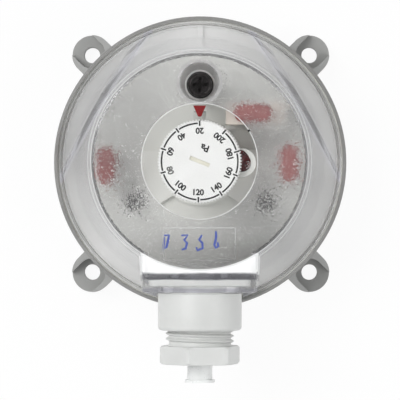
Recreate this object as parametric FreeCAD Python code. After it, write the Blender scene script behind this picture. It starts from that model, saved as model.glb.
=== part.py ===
import FreeCAD, Part
import math
import os

# A differential air pressure switch, in millimetres. The origin is the centre of the
# flat back, +Z points out of the dial, +Y to the cover screw and -Y to the cable gland.

V = FreeCAD.Vector

# Clearances
running_gap = 0.05      # radial gap of a turning or sliding fit
easy_gap = 0.3          # gap round a piece that is only located
face_gap = 0.1          # gap between faces that all but touch
screw_gap = 0.2         # radial gap of a clearance hole round a screw
past = 1.0              # how far a cutter runs past the face it opens
sink = 0.5              # how far a joined form runs into its neighbour

# Lower housing with the mounting lugs
base_h = 14.0           # height up to the plane where the diaphragm is clamped
wall_r = 41.0           # plain outer wall of both housings
back_r = 40.5           # the same wall at the back, narrower by its draft
band_t = 0.8            # raised band where the housings meet
band_h = 2.0
edge_break = 0.6        # bevel of the housings' outer edges
wall_t = 7.0            # from the wall to both pressure chambers
floor_t = 3.0
relief_in_r = 15.0      # ring relieved into the back
relief_land = 1.0       # what stays of the back outside that ring
relief_depth = 1.0
relief_ribs = 8
relief_rib_t = 1.6
lug_pitch = 65.0        # square of the four mounting holes
lug_r = 5.9
lug_hole_r = 2.35
lug_seat_z = 4.0        # floor of the screw head pocket
lug_pocket_r = 4.2
lug_root_h = 11.0       # height where the lug leaves the wall
lug_tip_h = 5.6         # height at its round end
stop_r = 11.0           # ring that carries the resting diaphragm
stop_t = 1.5
stop_gap_w = 3.0        # four gaps that let the air through it

# Pressure ports
port_r = 3.0
port_bore_r = 1.9
port_reach = 56.0       # distance of the open end from the axis
port_boss_r = 4.4
port_lead = 0.8
high_port_z = 7.5
low_port_z = 20.5

# Upper housing
switch_h = 16.0         # height from the clamped plane to the top of the rim
rim_r = 42.5
rim_h = 6.0
rim_chamfer = 1.2
rim_edge = 0.5
lip_w = 1.05            # upright lip of the rim round the cover's flange
groove_w = 0.4          # open ring between the flange and that lip
ledge_w = 1.75          # ledge under the flange, with the gasket in it
deck_below_rim = 3.5
deck_t = 2.5
ledge_below_rim = 2.4
tower_out_r = 7.0       # tube that guides the set spring
tower_in_r = 5.6
tower_h = 13.5
key_w = 2.4             # grooves that stop the spring seat from turning
key_depth = 0.7
key_above_deck = 1.0
pillar_y = 22.3         # cover screw
pillar_r = 4.2
pillar_h = 6.5
pillar_web_t = 1.6
guide_r = 2.4           # guide boss of the actuating pin
guide_h = 1.5

# Screws that clamp the two housings from the back
clamp_inset = 2.2       # from the wall to their axes
clamp_shank_r = 1.4
clamp_head_r = 2.6
clamp_head_h = 1.8
clamp_len = 20.0
clamp_drive_len = 3.2
clamp_drive_w = 0.7
clamp_drive_depth = 0.9

# Diaphragm and its plate
web_t = 0.5
bead_inset = 0.8        # from the chamber wall to the clamped bead
bead_w = 2.0
bead_h = 1.6
web_in_bead = 0.5       # how far the web runs into the bead
roll_inset = 6.4        # from the chamber wall to the centre of the rolled ring
roll_size = 2.6
plate_inset = 3.6       # from that centre to the plate's edge
plate_t = 1.5
plate_rib_h = 1.2
plate_rib_t = 1.0
plate_rib_inset = 1.5
plate_ribs = 8
hub_r = 3.8             # spigot inside the set spring
hub_wall = 1.2
hub_h = 2.2
pin_x = 11.0            # actuating pin
pin_y = 14.0
pin_r = 1.2
pin_round = 0.4

# Set spring, its seat and the spindle
spring_r = 4.6
spring_wire_r = 0.5
spring_turns = 7        # its first and last turns lie almost flat
seat_t = 3.0
ear_clear = 0.2
seat_below_collar = 0.6
seat_spigot_h = 1.5
spindle_r = 1.6
journal_r = 2.0
collar_r = 3.2
collar_t = 0.8
spindle_below_seat = 3.5
drive_r = 1.5
drive_len = 3.0
drive_flat = 0.4
drive_gap = 0.02        # tight fit of the dial on its drive

# Bearing cap on the tower
bearing_spigot_h = 2.5
bearing_flange_t = 2.2
pip_r = 0.55
pip_x = 4.6
pip_h = 0.8

# Pointer
foot_t = 1.2
foot_r = 6.4
foot_bore_r = 2.6
pointer_w = 3.6
pointer_tip_w = 1.4
pointer_tip_r = 12.7
pointer_end_r = 15.9
pointer_post_t = 1.6
pointer_t = 1.2

# Dial
dial_r = 12.0
tooth_depth = 0.4
tooth_count = 84
tooth_top = 0.3         # share of a tooth's pitch that is its top
tooth_side = 0.2        # share that each of its two sides takes
dial_t = 3.0
dial_bevel = 0.6        # bevel round the face, and how far down it goes
dial_bevel_h = 0.5
dial_web_t = 1.6
dial_rim_t = 1.3
dial_hub_r = 3.2
dial_hub_h = 2.6
slot_len = 6.0
slot_w = 1.1
slot_depth = 0.6
slot_turn = -22.0

# Carrier of the switch and the terminals
carrier_t = 2.0
carrier_core_r = 12.5
carrier_arm_w = 8.0
carrier_screw_x = 19.2
carrier_screw_y = -11.5
carrier_ear_r = 4.2
carrier_screw_r = 1.15
carrier_head_r = 2.8
carrier_head_h = 1.9
carrier_screw_len = 7.5
carrier_boss_r = 3.0
carrier_boss_h = 5.0
carrier_recess_len = 3.2
carrier_recess_w = 0.7
carrier_recess_depth = 1.0
left_post_in = 12.4     # from the chamber's wall to the middle of each blade
right_post_in = 13.7
left_post_y = -1.1
right_post_y = -0.4
post_pad_r = 6.6
post_len = 9.0
post_w = 4.4
post_h = 4.6
trim_x = 12.0           # factory adjusting screw in its round boss
trim_y = -0.3
trim_boss_r = 4.1
trim_boss_h = 16.5
trim_recess_r = 2.6
trim_recess_depth = 2.4
trim_head_r = 2.5
trim_head_h = 1.4
trim_shank_r = 1.5
trim_above_plate = 1.0
trim_slot_w = 0.8
trim_slot_depth = 0.6
trim_slot_turn = 35.0

# Microswitch
case_x = 7.4
case_y = 10.7
case_len = 17.0
case_w = 6.4
case_h = 10.0
case_round = 0.4
case_above_carrier = 3.5
case_blade_in = 7.8     # blade on its top, from its inner end
leaf_t = 0.25
leaf_w = 2.6
leaf_drop = 1.6         # how far the free end hangs below the pivot
leaf_pivot_inset = 1.6
leaf_reach = 13.4
leaf_hook = 1.0         # end bent up into the case
hook_room = 1.2         # width and depth of the pocket for it
button_r = 0.8
button_from_pivot = 5.6
button_len = 3.6
button_room = 1.0       # free depth above the button
cheek_t = 1.2
cheek_h = 8.6
cheek_len = 10.0
dowel_r = 1.2
dowel_span = 7.0
dowel_in = 1.6          # from the case's outer end to the second dowel
dowel_under_cheek = 1.2

# Terminals
blade_w = 6.3
blade_t = 0.8
blade_len = 13.5
blade_top_len = 8.5
blade_sink = 2.0        # how deep the upper blade stands in the microswitch
blade_above_plate = 0.5
blade_point_h = 1.5     # tapered end of a blade
blade_point_in = 1.2
cap_len = 10.8
cap_w = 5.2
cap_h = 11.8
cap_top_h = 8.6
cap_round = 1.2
blade_gap = 0.1

# Cover
cover_rise = 27.0       # height of the top above the rim
flange_t = 2.5
flange_edge = 0.5
seat_below_rim = 1.5
skirt_step = 0.95       # step from the flange in to the skirt
skirt_h = 1.0
flank_run = 9.5         # how far the sloping flank comes in from the skirt to the top
disc_round = 1.4
cover_wall = 1.6
cover_top_t = 1.8
window_r = 16.3
window_depth = 0.12
well_top_r = 5.56
well_floor_r = 4.4
well_wall = 1.0
well_floor_t = 1.6
well_hole_r = 2.3
chord_off = 31.2        # distance of the inside ribs from the axis
chord_turn = 31.0       # direction of their normals above the X axis
chord_len = 52.0
chord_wide_t = 2.4
chord_narrow_t = 1.0
panel_w = 20.6          # blank raised frame on the top
panel_h = 9.5
panel_y = -23.3
panel_line = 0.4
panel_rise = 0.15
panel_round = 1.0
panel_root = 0.2
saddle_wall_t = 1.65
saddle_roof_t = 1.2
saddle_depth = 17.0     # from its outer face inwards, under the disc
saddle_round = 0.8
lip_t = 1.4
lip_over_sleeve = 0.2   # how much further the slot's outer wall runs than the sleeve
lip_arch_in = 2.0       # how much smaller the arch of the inner lip is than the neck

# Cover screw
screw_r = 1.95
screw_head_r = 3.5
screw_head_h = 2.4
screw_len = 10.0
screw_washer_r = 3.9
screw_washer_t = 0.8
recess_len = 4.4
recess_w = 0.95
recess_depth = 1.4
pan_crown = 0.35        # share of a pan head's height that is rounded
recess_taper = 0.55     # length of a cross recess at its bottom, as a share of the top

# Gasket under the cover
gasket_w = 0.9
gasket_in = 0.9         # from the chamber's wall to the middle of the gasket
gasket_groove = 0.5

# Cable gland
sleeve_r = 12.0
sleeve_len = 10.6
sleeve_round = 1.0
sleeve_over_rim = 0.5
neck_r = 11.2
plate_half_w = 14.15
plate_over_axis = 12.3
gland_plate_t = 1.9
gland_plate_in = 6.0    # from the chamber's wall in to the plate's inner face
plate_corner_r = 2.0
inner_collar_r = 6.4
inner_collar_len = 4.0
collar_round = 0.6
cable_bore_r = 5.2
thread_r = 9.8
seal_r = 8.9
seal_len = 5.0
seal_bore_r = 3.7
seal_step = 3.0         # depth of the seat of the rubber bush
washer_t = 1.0
washer_from_seal = 2.0
thread_len = 9.3
hex_flats = 20.5
hex_t = 5.2
hex_turn = -16.1        # turn of one hexagon corner from straight up
hex_bevel = 0.8         # how far its corners are turned off, and over what height
hex_bevel_h = 0.5
plug_r = 3.6
plug_flange_r = 4.3
plug_flange_t = 0.8
plug_wall = 0.9
plug_bottom_t = 1.0
plug_out = 5.3          # how far it stands out of the hexagon

# Radii, heights and places that follow from the sizes above
band_r = wall_r + band_t
chamber_r = wall_r - wall_t
relief_out_r = chamber_r - relief_land
clamp_r = wall_r - clamp_inset
flange_r = rim_r - lip_w - groove_w
recess_r = flange_r - ledge_w
gasket_r = recess_r + gasket_in
skirt_r = flange_r - skirt_step
disc_r = skirt_r - flank_run
roll_r = chamber_r - roll_inset
plate_r = roll_r - plate_inset
left_post = (-recess_r + left_post_in, left_post_y)
right_post = (recess_r - right_post_in, right_post_y)
gland_plate_y = recess_r - gland_plate_in
rim_z = base_h + switch_h
deck_z = rim_z - deck_below_rim
ledge_z = rim_z - ledge_below_rim
cover_seat_z = rim_z - seat_below_rim
flange_top_z = cover_seat_z + flange_t
cover_top_z = rim_z + cover_rise
ceiling_z = cover_top_z - cover_top_t
carrier_z = deck_z + carrier_t
tower_z = deck_z + tower_h
web_top_z = base_h + web_t / 2
plate_top_z = web_top_z + plate_t
bearing_low_z = tower_z - bearing_spigot_h
bearing_top_z = tower_z + bearing_flange_t
collar_top_z = bearing_low_z - face_gap
collar_low_z = collar_top_z - collar_t
seat_top_z = collar_low_z - seat_below_collar
seat_low_z = seat_top_z - seat_t
foot_top_z = bearing_top_z + foot_t
dial_hub_z = foot_top_z + easy_gap
dial_low_z = dial_hub_z + dial_hub_h
dial_top_z = dial_low_z + dial_t
pillar_top_z = deck_z + pillar_h
well_low_z = pillar_top_z + face_gap
well_floor_z = well_low_z + well_floor_t
screw_head_z = well_floor_z + screw_washer_t
case_z = carrier_z + case_above_carrier
pivot_x = case_x + case_len - leaf_pivot_inset
pivot_z = case_z - face_gap - leaf_t
leaf_mid_y = case_y + case_w / 2
leaf_slope = leaf_drop / leaf_reach
trim_top_z = carrier_z + trim_boss_h
gland_z = rim_z + sleeve_over_rim + sleeve_r
neck_len = easy_gap + saddle_wall_t + easy_gap + face_gap
plate_out_y = gland_plate_y + gland_plate_t
sleeve_y = plate_out_y + neck_len
mouth_y = sleeve_y + sleeve_len
seal_y = plate_out_y + face_gap
seal_step_y = seal_y + seal_step
washer_y = seal_y + seal_len + washer_from_seal
screw_end_y = washer_y + washer_t
hex_y = screw_end_y + thread_len
hex_end_y = hex_y + hex_t
plug_end_y = hex_end_y + plug_out
lug_reach = lug_pitch / math.sqrt(2)
slot_top_z = gland_z - neck_r - easy_gap


def rod(r, h, at=(0, 0, 0), along=(0, 0, 1)):
    return Part.makeCylinder(r, h, V(*at), V(*along))


def tube(r_out, r_in, h, at=(0, 0, 0), along=(0, 0, 1)):
    return rod(r_out, h, at, along).cut(rod(r_in, h, at, along))


def block(x0, x1, y0, y1, z0, z1):
    return Part.makeBox(x1 - x0, y1 - y0, z1 - z0, V(x0, y0, z0))


def face_of(points):
    return Part.Face(Part.makePolygon(points + points[:1]))


def turned(outline):
    """Solid of revolution round Z from an outline of (radius, height) points."""
    face = face_of([V(r, 0, z) for r, z in outline])
    return face.revolve(V(0, 0, 0), V(0, 0, 1), 360)


def rounded_bar(length, width, height, at, turn=0):
    """Upright bar with half-round ends, its length along X before the turn."""
    half = (length - width) / 2
    bar = block(-half, half, -width / 2, width / 2, 0, height)
    for x in (-half, half):
        bar = bar.fuse(rod(width / 2, height, (x, 0, 0)))
    bar = bar.removeSplitter()
    bar.rotate(V(0, 0, 0), V(0, 0, 1), turn)
    bar.translate(V(*at))
    return bar


def spread(shape, turns):
    """Copies of a shape turned round Z, in degrees."""
    copies = []
    for turn in turns:
        copy = shape.copy()
        copy.rotate(V(0, 0, 0), V(0, 0, 1), turn)
        copies.append(copy)
    return copies


def round_edges(shape, radius, wanted):
    edges = [edge for edge in shape.Edges if wanted(edge)]
    return shape.makeFillet(radius, edges)


def quarter_turns(first):
    return [first + 90 * step for step in range(4)]


def out_y(distance):
    """A place on the gland's axis, at a distance from the body's axis."""
    return (0, -distance, gland_z)


def lug():
    """One mounting lug along +X, with a screw head pocket open to its end."""
    root = chamber_r + stop_t
    end = lug_reach + lug_r
    plan = block(root, lug_reach, -lug_r, lug_r, 0, lug_root_h).fuse(rod(lug_r, lug_root_h, (lug_reach, 0, 0)))
    side = [
        V(root, -lug_r, 0),
        V(end, -lug_r, 0),
        V(end, -lug_r, lug_tip_h),
        V(wall_r, -lug_r, lug_root_h),
        V(root, -lug_r, lug_root_h),
    ]
    slope = face_of(side).extrude(V(0, 2 * lug_r, 0))
    pocket = rod(lug_pocket_r, lug_root_h, (lug_reach, 0, lug_seat_z))
    pocket = pocket.fuse(block(lug_reach, end + past, -lug_pocket_r, lug_pocket_r, lug_seat_z, lug_root_h + past))
    hole = rod(lug_hole_r, lug_root_h, (lug_reach, 0, -past))
    return plan.common(slope).cut(pocket).cut(hole)


def port(z):
    """Hose stub towards -Y, without its bore."""
    start = chamber_r + past
    plain = port_reach - port_lead - start
    stub = rod(port_r, plain, (0, -start, z), (0, -1, 0))
    lead = Part.makeCone(port_r, port_r - port_lead / 2, port_lead, V(0, -port_reach + port_lead, z), V(0, -1, 0))
    boss = rod(port_boss_r, rim_r - start, (0, -start, z), (0, -1, 0))
    return stub.fuse(lead).fuse(boss)


def port_bore(z):
    start = chamber_r - past
    return rod(port_bore_r, port_reach - start + past, (0, -start, z), (0, -1, 0))


def bead_groove(low, depth):
    """Ring cut for the clamped bead and, inside it, for the diaphragm's web."""
    bead_in = chamber_r + bead_inset
    bead = tube(bead_in + bead_w + face_gap, bead_in - face_gap, depth, (0, 0, low))
    return bead


def base_housing():
    body = turned([
        (0, 0), (back_r - edge_break, 0), (back_r, edge_break), (wall_r, base_h - band_h - edge_break),
        (band_r, base_h - band_h), (band_r, base_h), (0, base_h),
    ])
    for piece in spread(lug(), quarter_turns(45)):
        body = body.fuse(piece)
    body = body.fuse(port(high_port_z))
    room = base_h - floor_t
    body = body.cut(rod(chamber_r, room + past, (0, 0, floor_t)))
    body = body.cut(port_bore(high_port_z))
    stop_top = base_h - web_t / 2
    ring = tube(stop_r + stop_t / 2, stop_r - stop_t / 2, stop_top - floor_t, (0, 0, floor_t))
    gap_half = stop_gap_w / 2
    for gap in spread(block(0, stop_r + stop_t, -gap_half, gap_half, floor_t, stop_top), quarter_turns(0)):
        ring = ring.cut(gap)
    body = body.fuse(ring)
    land = chamber_r + bead_inset
    web_room = (web_t + face_gap) / 2
    body = body.cut(tube(land, chamber_r - past, web_room, (0, 0, base_h - web_room)))
    body = body.cut(bead_groove(base_h - bead_h / 2 - face_gap, bead_h / 2 + face_gap))
    relief = tube(relief_out_r, relief_in_r, relief_depth)
    bar = block(relief_in_r - past, relief_out_r + past, -relief_rib_t / 2, relief_rib_t / 2, 0, relief_depth)
    for rib in spread(bar, [360 * step / relief_ribs for step in range(relief_ribs)]):
        relief = relief.cut(rib)
    body = body.cut(relief)
    hole = rod(clamp_shank_r + screw_gap, base_h, (clamp_r, 0, 0))
    hole = hole.fuse(rod(clamp_head_r + screw_gap, clamp_head_h + easy_gap, (clamp_r, 0, 0)))
    for piece in spread(hole, quarter_turns(45)):
        body = body.cut(piece)
    return body.removeSplitter()


def housing_screws():
    """Four screws from the back, their heads sunk below the mounting plane."""
    head = rod(clamp_head_r, clamp_head_h, (clamp_r, 0, easy_gap))
    shank = rod(clamp_shank_r, clamp_len - clamp_head_h, (clamp_r, 0, easy_gap + clamp_head_h))
    long = clamp_drive_len / 2
    thin = clamp_drive_w / 2
    drive_top = easy_gap + clamp_drive_depth
    drive = block(clamp_r - long, clamp_r + long, -thin, thin, easy_gap, drive_top)
    cross = block(clamp_r - thin, clamp_r + thin, -long, long, easy_gap, drive_top)
    screw = head.fuse(shank).cut(drive).cut(cross).removeSplitter()
    return Part.makeCompound(spread(screw, quarter_turns(45)))


def gland_slot():
    """Two low walls on the deck with the gland's plate between them."""
    inner = block(
        -plate_half_w, plate_half_w,
        -gland_plate_y + easy_gap, -gland_plate_y + easy_gap + lip_t, deck_z, slot_top_z,
    )
    outer = block(
        -sleeve_r - lip_over_sleeve, sleeve_r + lip_over_sleeve,
        -plate_out_y - easy_gap - lip_t, -plate_out_y - easy_gap, deck_z, slot_top_z,
    )
    return inner.fuse(outer).common(rod(recess_r, slot_top_z, (0, 0, 0)))


def switch_housing():
    low = rim_z - rim_h
    body = turned([
        (0, base_h), (band_r, base_h), (band_r, base_h + band_h), (wall_r, base_h + band_h + edge_break),
        (wall_r, low), (rim_r, low + rim_chamfer), (rim_r, rim_z - rim_edge), (rim_r - rim_edge, rim_z), (0, rim_z),
    ])
    body = body.fuse(port(low_port_z))
    deck_low = deck_z - deck_t
    body = body.cut(rod(chamber_r, deck_low - base_h, (0, 0, base_h)))
    body = body.cut(rod(recess_r, switch_h, (0, 0, deck_z)))
    body = body.cut(rod(flange_r + groove_w, switch_h, (0, 0, ledge_z)))
    groove_out = gasket_r + gasket_w / 2 + face_gap
    groove_in = gasket_r - gasket_w / 2 - face_gap
    body = body.cut(tube(groove_out, groove_in, gasket_groove, (0, 0, ledge_z - gasket_groove)))
    body = body.cut(port_bore(low_port_z))
    body = body.cut(rod(chamber_r + bead_inset, web_t / 2 + face_gap / 2, (0, 0, base_h)))
    body = body.cut(bead_groove(base_h, bead_h / 2 + face_gap))
    body = body.fuse(rod(tower_out_r, tower_h + deck_t, (0, 0, deck_low)))
    body = body.cut(rod(tower_in_r, tower_h + deck_t, (0, 0, deck_low)))
    key_low = deck_z + key_above_deck
    key = block(0, tower_in_r + key_depth, -key_w / 2, key_w / 2, key_low, bearing_low_z)
    for piece in spread(key, (90, 270)):
        body = body.cut(piece)
    pillar = rod(pillar_r, pillar_h + deck_t, (0, pillar_y, deck_low))
    web = block(-pillar_web_t / 2, pillar_web_t / 2, pillar_y, recess_r + face_gap, deck_z, ledge_z)
    hole_low = screw_head_z - screw_len - easy_gap
    pillar = pillar.fuse(web)
    body = body.fuse(pillar).cut(rod(screw_r + running_gap, switch_h * 2, (0, pillar_y, hole_low)))
    guide = rod(guide_r, guide_h + deck_t, (pin_x, pin_y, deck_low))
    body = body.fuse(guide).cut(rod(pin_r + running_gap, guide_h + deck_t, (pin_x, pin_y, deck_low)))
    for side in (-1, 1):
        x = side * carrier_screw_x
        body = body.fuse(rod(carrier_boss_r, carrier_boss_h + deck_t, (x, carrier_screw_y, deck_low - carrier_boss_h)))
        depth = carrier_screw_len - carrier_t + face_gap
        body = body.cut(rod(carrier_screw_r + running_gap, depth, (x, carrier_screw_y, deck_z - depth)))
    body = body.fuse(gland_slot())
    shank = rod(clamp_shank_r + running_gap, clamp_len + 2 * easy_gap, (clamp_r, 0, 0))
    for piece in spread(shank, quarter_turns(45)):
        body = body.cut(piece)
    return body.removeSplitter()


def diaphragm():
    """Rubber sheet with a clamped bead and one rolled ring that lets its middle move."""
    bead_in = chamber_r + bead_inset
    web = rod(bead_in + web_in_bead, web_t, (0, 0, base_h - web_t / 2))
    hollow = roll_size - web_t
    web = web.cut(tube(roll_r + hollow, roll_r - hollow, web_t, (0, 0, base_h - web_t / 2)))
    roll = Part.makeTorus(roll_r, roll_size, V(0, 0, web_top_z)).cut(Part.makeTorus(roll_r, hollow, V(0, 0, web_top_z)))
    roll = roll.common(rod(chamber_r, roll_size * 2, (0, 0, web_top_z - roll_size * 2)))
    bead = tube(bead_in + bead_w, bead_in, bead_h, (0, 0, base_h - bead_h / 2))
    return web.fuse(roll).fuse(bead).removeSplitter()


def diaphragm_plate():
    body = rod(plate_r, plate_t, (0, 0, web_top_z))
    half = plate_rib_t / 2
    bar = block(hub_r, plate_r - plate_rib_inset, -half, half, plate_top_z, plate_top_z + plate_rib_h)
    bar = bar.cut(rod(spring_r + spring_wire_r + easy_gap, plate_rib_h, (0, 0, plate_top_z)))
    for rib in spread(bar, [360 * step / plate_ribs for step in range(plate_ribs)]):
        body = body.fuse(rib)
    body = body.fuse(rod(hub_r, hub_h, (0, 0, plate_top_z)))
    body = body.cut(rod(hub_r - hub_wall, hub_h, (0, 0, plate_top_z)))
    pin_top = pivot_z - leaf_slope * (pivot_x - pin_x + pin_r) - face_gap
    pin = rod(pin_r, pin_top - web_top_z, (pin_x, pin_y, web_top_z))
    body = body.fuse(round_edges(pin, pin_round, lambda edge: edge.BoundBox.ZMin > pin_top - 0.01))
    return body.removeSplitter()


def set_spring():
    """Coil of half rings, tilted in turn so that each starts where the last one ends."""
    z = plate_top_z + spring_wire_r + running_gap
    high = seat_low_z - spring_wire_r - running_gap
    closed = 2 * spring_wire_r + running_gap
    open_turns = spring_turns - 2
    pitch = (high - z - 2 * closed) / open_turns
    rises = [closed / 2] * 2 + [pitch / 2] * (2 * open_turns) + [closed / 2] * 2
    halves = []
    x = spring_r
    for rise in rises:
        start = V(x, 0, z)
        end = V(-x, 0, z + rise)
        wire = Part.Face(Part.Wire(Part.makeCircle(spring_wire_r, start, V(0, 1, 0))))
        axis = (end - start).cross(V(0, -x, 0))
        halves.append(wire.revolve((start + end) / 2, axis, 180))
        x = -x
        z = z + rise
    return halves[0].multiFuse(halves[1:]).removeSplitter()


def spring_seat():
    """Nut that the spindle moves, kept from turning by two ears in the tower."""
    body = rod(tower_in_r - easy_gap, seat_t, (0, 0, seat_low_z))
    ear_w = key_w - 2 * face_gap
    ear = block(0, tower_in_r + key_depth - ear_clear, -ear_w / 2, ear_w / 2, seat_low_z, seat_top_z)
    for piece in spread(ear, (90, 270)):
        body = body.fuse(piece)
    body = body.fuse(rod(hub_r, seat_spigot_h, (0, 0, seat_low_z - seat_spigot_h)))
    bore = rod(spindle_r + running_gap, seat_t + seat_spigot_h, (0, 0, seat_low_z - seat_spigot_h))
    return body.cut(bore).removeSplitter()


def dial_spindle():
    low = seat_low_z - spindle_below_seat
    body = rod(spindle_r, collar_low_z - low, (0, 0, low))
    body = body.fuse(rod(collar_r, collar_t, (0, 0, collar_low_z)))
    body = body.fuse(rod(journal_r, dial_hub_z - collar_top_z, (0, 0, collar_top_z)))
    body = body.fuse(rod(drive_r, drive_len, (0, 0, dial_hub_z)))
    flat = block(drive_r - drive_flat, drive_r, -drive_r, drive_r, dial_hub_z, dial_hub_z + drive_len)
    return body.cut(flat).removeSplitter()


def dial_bearing():
    body = rod(tower_in_r - face_gap, bearing_spigot_h, (0, 0, bearing_low_z))
    body = body.fuse(rod(tower_out_r, bearing_flange_t, (0, 0, tower_z)))
    body = body.cut(rod(journal_r + running_gap, bearing_spigot_h + bearing_flange_t, (0, 0, bearing_low_z)))
    for x in (-pip_x, pip_x):
        body = body.cut(rod(pip_r + running_gap, pip_h + face_gap, (x, 0, bearing_top_z - pip_h - face_gap)))
    return body.removeSplitter()


def pointer():
    """Foot on the bearing, arm and post outside the dial, wedge level with its face."""
    foot = rod(foot_r, foot_t, (0, 0, bearing_top_z))
    arm_half = pointer_w / 2
    foot = foot.fuse(block(-arm_half, arm_half, 0, pointer_end_r, bearing_top_z, foot_top_z))
    foot = foot.cut(rod(foot_bore_r, foot_t, (0, 0, bearing_top_z)))
    for x in (-pip_x, pip_x):
        foot = foot.fuse(rod(pip_r, pip_h, (x, 0, bearing_top_z - pip_h)))
    wedge_low = dial_top_z - pointer_t
    post = block(-arm_half, arm_half, pointer_end_r - pointer_post_t, pointer_end_r, bearing_top_z, dial_top_z)
    tip_half = pointer_tip_w / 2
    tip_y = pointer_tip_r + tip_half
    wedge = face_of([
        V(-arm_half, pointer_end_r, wedge_low), V(-tip_half, tip_y, wedge_low),
        V(tip_half, tip_y, wedge_low), V(arm_half, pointer_end_r, wedge_low),
    ]).extrude(V(0, 0, pointer_t))
    wedge = wedge.fuse(rod(tip_half, pointer_t, (0, tip_y, wedge_low)))
    return foot.fuse(post).fuse(wedge).removeSplitter()


def dial():
    """Toothed knob with a hollow underside and a screwdriver slot in its face."""
    corners = []
    for step in range(tooth_count):
        start = 2 * math.pi * step / tooth_count
        root_r = dial_r - tooth_depth
        down = tooth_top + tooth_side
        for share, radius in ((0, dial_r), (tooth_top, dial_r), (down, root_r), (1 - tooth_side, root_r)):
            turn = start + share * 2 * math.pi / tooth_count
            corners.append(V(radius * math.cos(turn), radius * math.sin(turn), dial_low_z))
    body = face_of(corners).extrude(V(0, 0, dial_t))
    crown = turned([
        (0, dial_low_z), (dial_r, dial_low_z), (dial_r, dial_top_z - dial_bevel_h),
        (dial_r - dial_bevel, dial_top_z), (0, dial_top_z),
    ])
    body = body.common(crown)
    hollow = tube(dial_r - tooth_depth - dial_rim_t, dial_hub_r, dial_t - dial_web_t, (0, 0, dial_low_z))
    body = body.cut(hollow)
    body = body.fuse(rod(dial_hub_r, dial_hub_h, (0, 0, dial_hub_z)))
    body = body.cut(rod(drive_r + drive_gap, drive_len + face_gap, (0, 0, dial_hub_z)))
    groove = block(-slot_len / 2, slot_len / 2, -slot_w / 2, slot_w / 2, dial_top_z - slot_depth, dial_top_z)
    groove.rotate(V(0, 0, 0), V(0, 0, 1), slot_turn)
    return body.cut(groove).removeSplitter()


def arm(end, width):
    """Flat arm of the carrier from the middle to a point."""
    length = math.hypot(*end)
    bar = block(0, length, -width / 2, width / 2, deck_z, carrier_z)
    bar.rotate(V(0, 0, 0), V(0, 0, 1), math.degrees(math.atan2(end[1], end[0])))
    return bar


def blade_slot(centre, turn):
    hole = block(
        -blade_w / 2 - running_gap, blade_w / 2 + running_gap,
        -blade_t / 2 - running_gap, blade_t / 2 + running_gap, carrier_z, carrier_z + post_h,
    )
    hole.rotate(V(0, 0, 0), V(0, 0, 1), turn)
    hole.translate(V(centre[0], centre[1], 0))
    return hole


def switch_carrier():
    """Plate on the deck with two blade posts, the microswitch cheeks and the trim boss."""
    body = rod(carrier_core_r, carrier_t, (0, 0, deck_z))
    for centre in (left_post, right_post):
        body = body.fuse(arm(centre, carrier_arm_w))
        body = body.fuse(rod(post_pad_r, carrier_t, (centre[0], centre[1], deck_z)))
        body = body.fuse(rounded_bar(post_len, post_w, post_h, (centre[0], centre[1], carrier_z), 90))
    for side in (-1, 1):
        ear = (side * carrier_screw_x, carrier_screw_y)
        body = body.fuse(arm(ear, 2 * carrier_ear_r))
        body = body.fuse(rod(carrier_ear_r, carrier_t, (ear[0], ear[1], deck_z)))
    cheek_end = case_x + case_len
    pad = block(case_x, cheek_end, case_y - cheek_t, case_y + case_w + cheek_t, deck_z, carrier_z)
    body = body.fuse(pad)
    for y in (case_y - face_gap - cheek_t, case_y + case_w + face_gap):
        cheek = block(cheek_end - cheek_len, cheek_end, y, y + cheek_t, deck_z, case_z + cheek_h)
        body = body.fuse(cheek)
    body = body.fuse(rod(trim_boss_r, trim_boss_h, (trim_x, trim_y, carrier_z)))
    body = body.cut(rod(trim_recess_r, trim_recess_depth, (trim_x, trim_y, trim_top_z - trim_recess_depth)))
    body = body.cut(rod(trim_shank_r + running_gap, trim_boss_h, (trim_x, trim_y, carrier_z)))
    body = body.cut(rod(tower_out_r + easy_gap, carrier_t, (0, 0, deck_z)))
    body = body.cut(rod(guide_r + easy_gap, carrier_t, (pin_x, pin_y, deck_z)))
    for centre in (left_post, right_post):
        body = body.cut(blade_slot(centre, 90))
    for side in (-1, 1):
        x = side * carrier_screw_x
        body = body.cut(rod(carrier_screw_r + running_gap, carrier_t, (x, carrier_screw_y, deck_z)))
    for x in dowel_places():
        body = body.cut(rod(dowel_r, case_w * 2, (x, case_y - cheek_t * 2, dowel_z()), (0, 1, 0)))
    return body.removeSplitter()


def dowel_places():
    last = case_x + case_len - dowel_in
    return (last - dowel_span, last)


def dowel_z():
    return case_z + cheek_h - dowel_r - dowel_under_cheek


def microswitch_pins():
    start = case_y - face_gap - cheek_t
    length = case_w + 2 * (face_gap + cheek_t)
    pins = [rod(dowel_r, length, (x, start, dowel_z()), (0, 1, 0)) for x in dowel_places()]
    return Part.makeCompound(pins)


def microswitch_case():
    body = block(case_x, case_x + case_len, case_y, case_y + case_w, case_z, case_z + case_h)
    body = round_edges(body, case_round, lambda edge: edge.Vertexes[0].Z != edge.Vertexes[1].Z)
    for x in dowel_places():
        body = body.cut(rod(dowel_r, case_w, (x, case_y, dowel_z()), (0, 1, 0)))
    button_x = pivot_x - button_from_pivot
    body = body.cut(rod(button_r + running_gap, button_len + button_room, (button_x, leaf_mid_y, case_z)))
    half = leaf_w / 2 + face_gap
    hook_half = hook_room / 2
    hook = block(
        pivot_x - hook_half, pivot_x + hook_half, leaf_mid_y - half, leaf_mid_y + half, case_z, case_z + hook_room,
    )
    body = body.cut(hook)
    x = case_blade_x()
    blade = block(
        x - blade_w / 2 - running_gap, x + blade_w / 2 + running_gap,
        leaf_mid_y - blade_t / 2 - running_gap, leaf_mid_y + blade_t / 2 + running_gap,
        case_z + case_h - blade_sink, case_z + case_h,
    )
    return body.cut(blade).removeSplitter()


def case_blade_x():
    return case_x + case_blade_in


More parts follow.
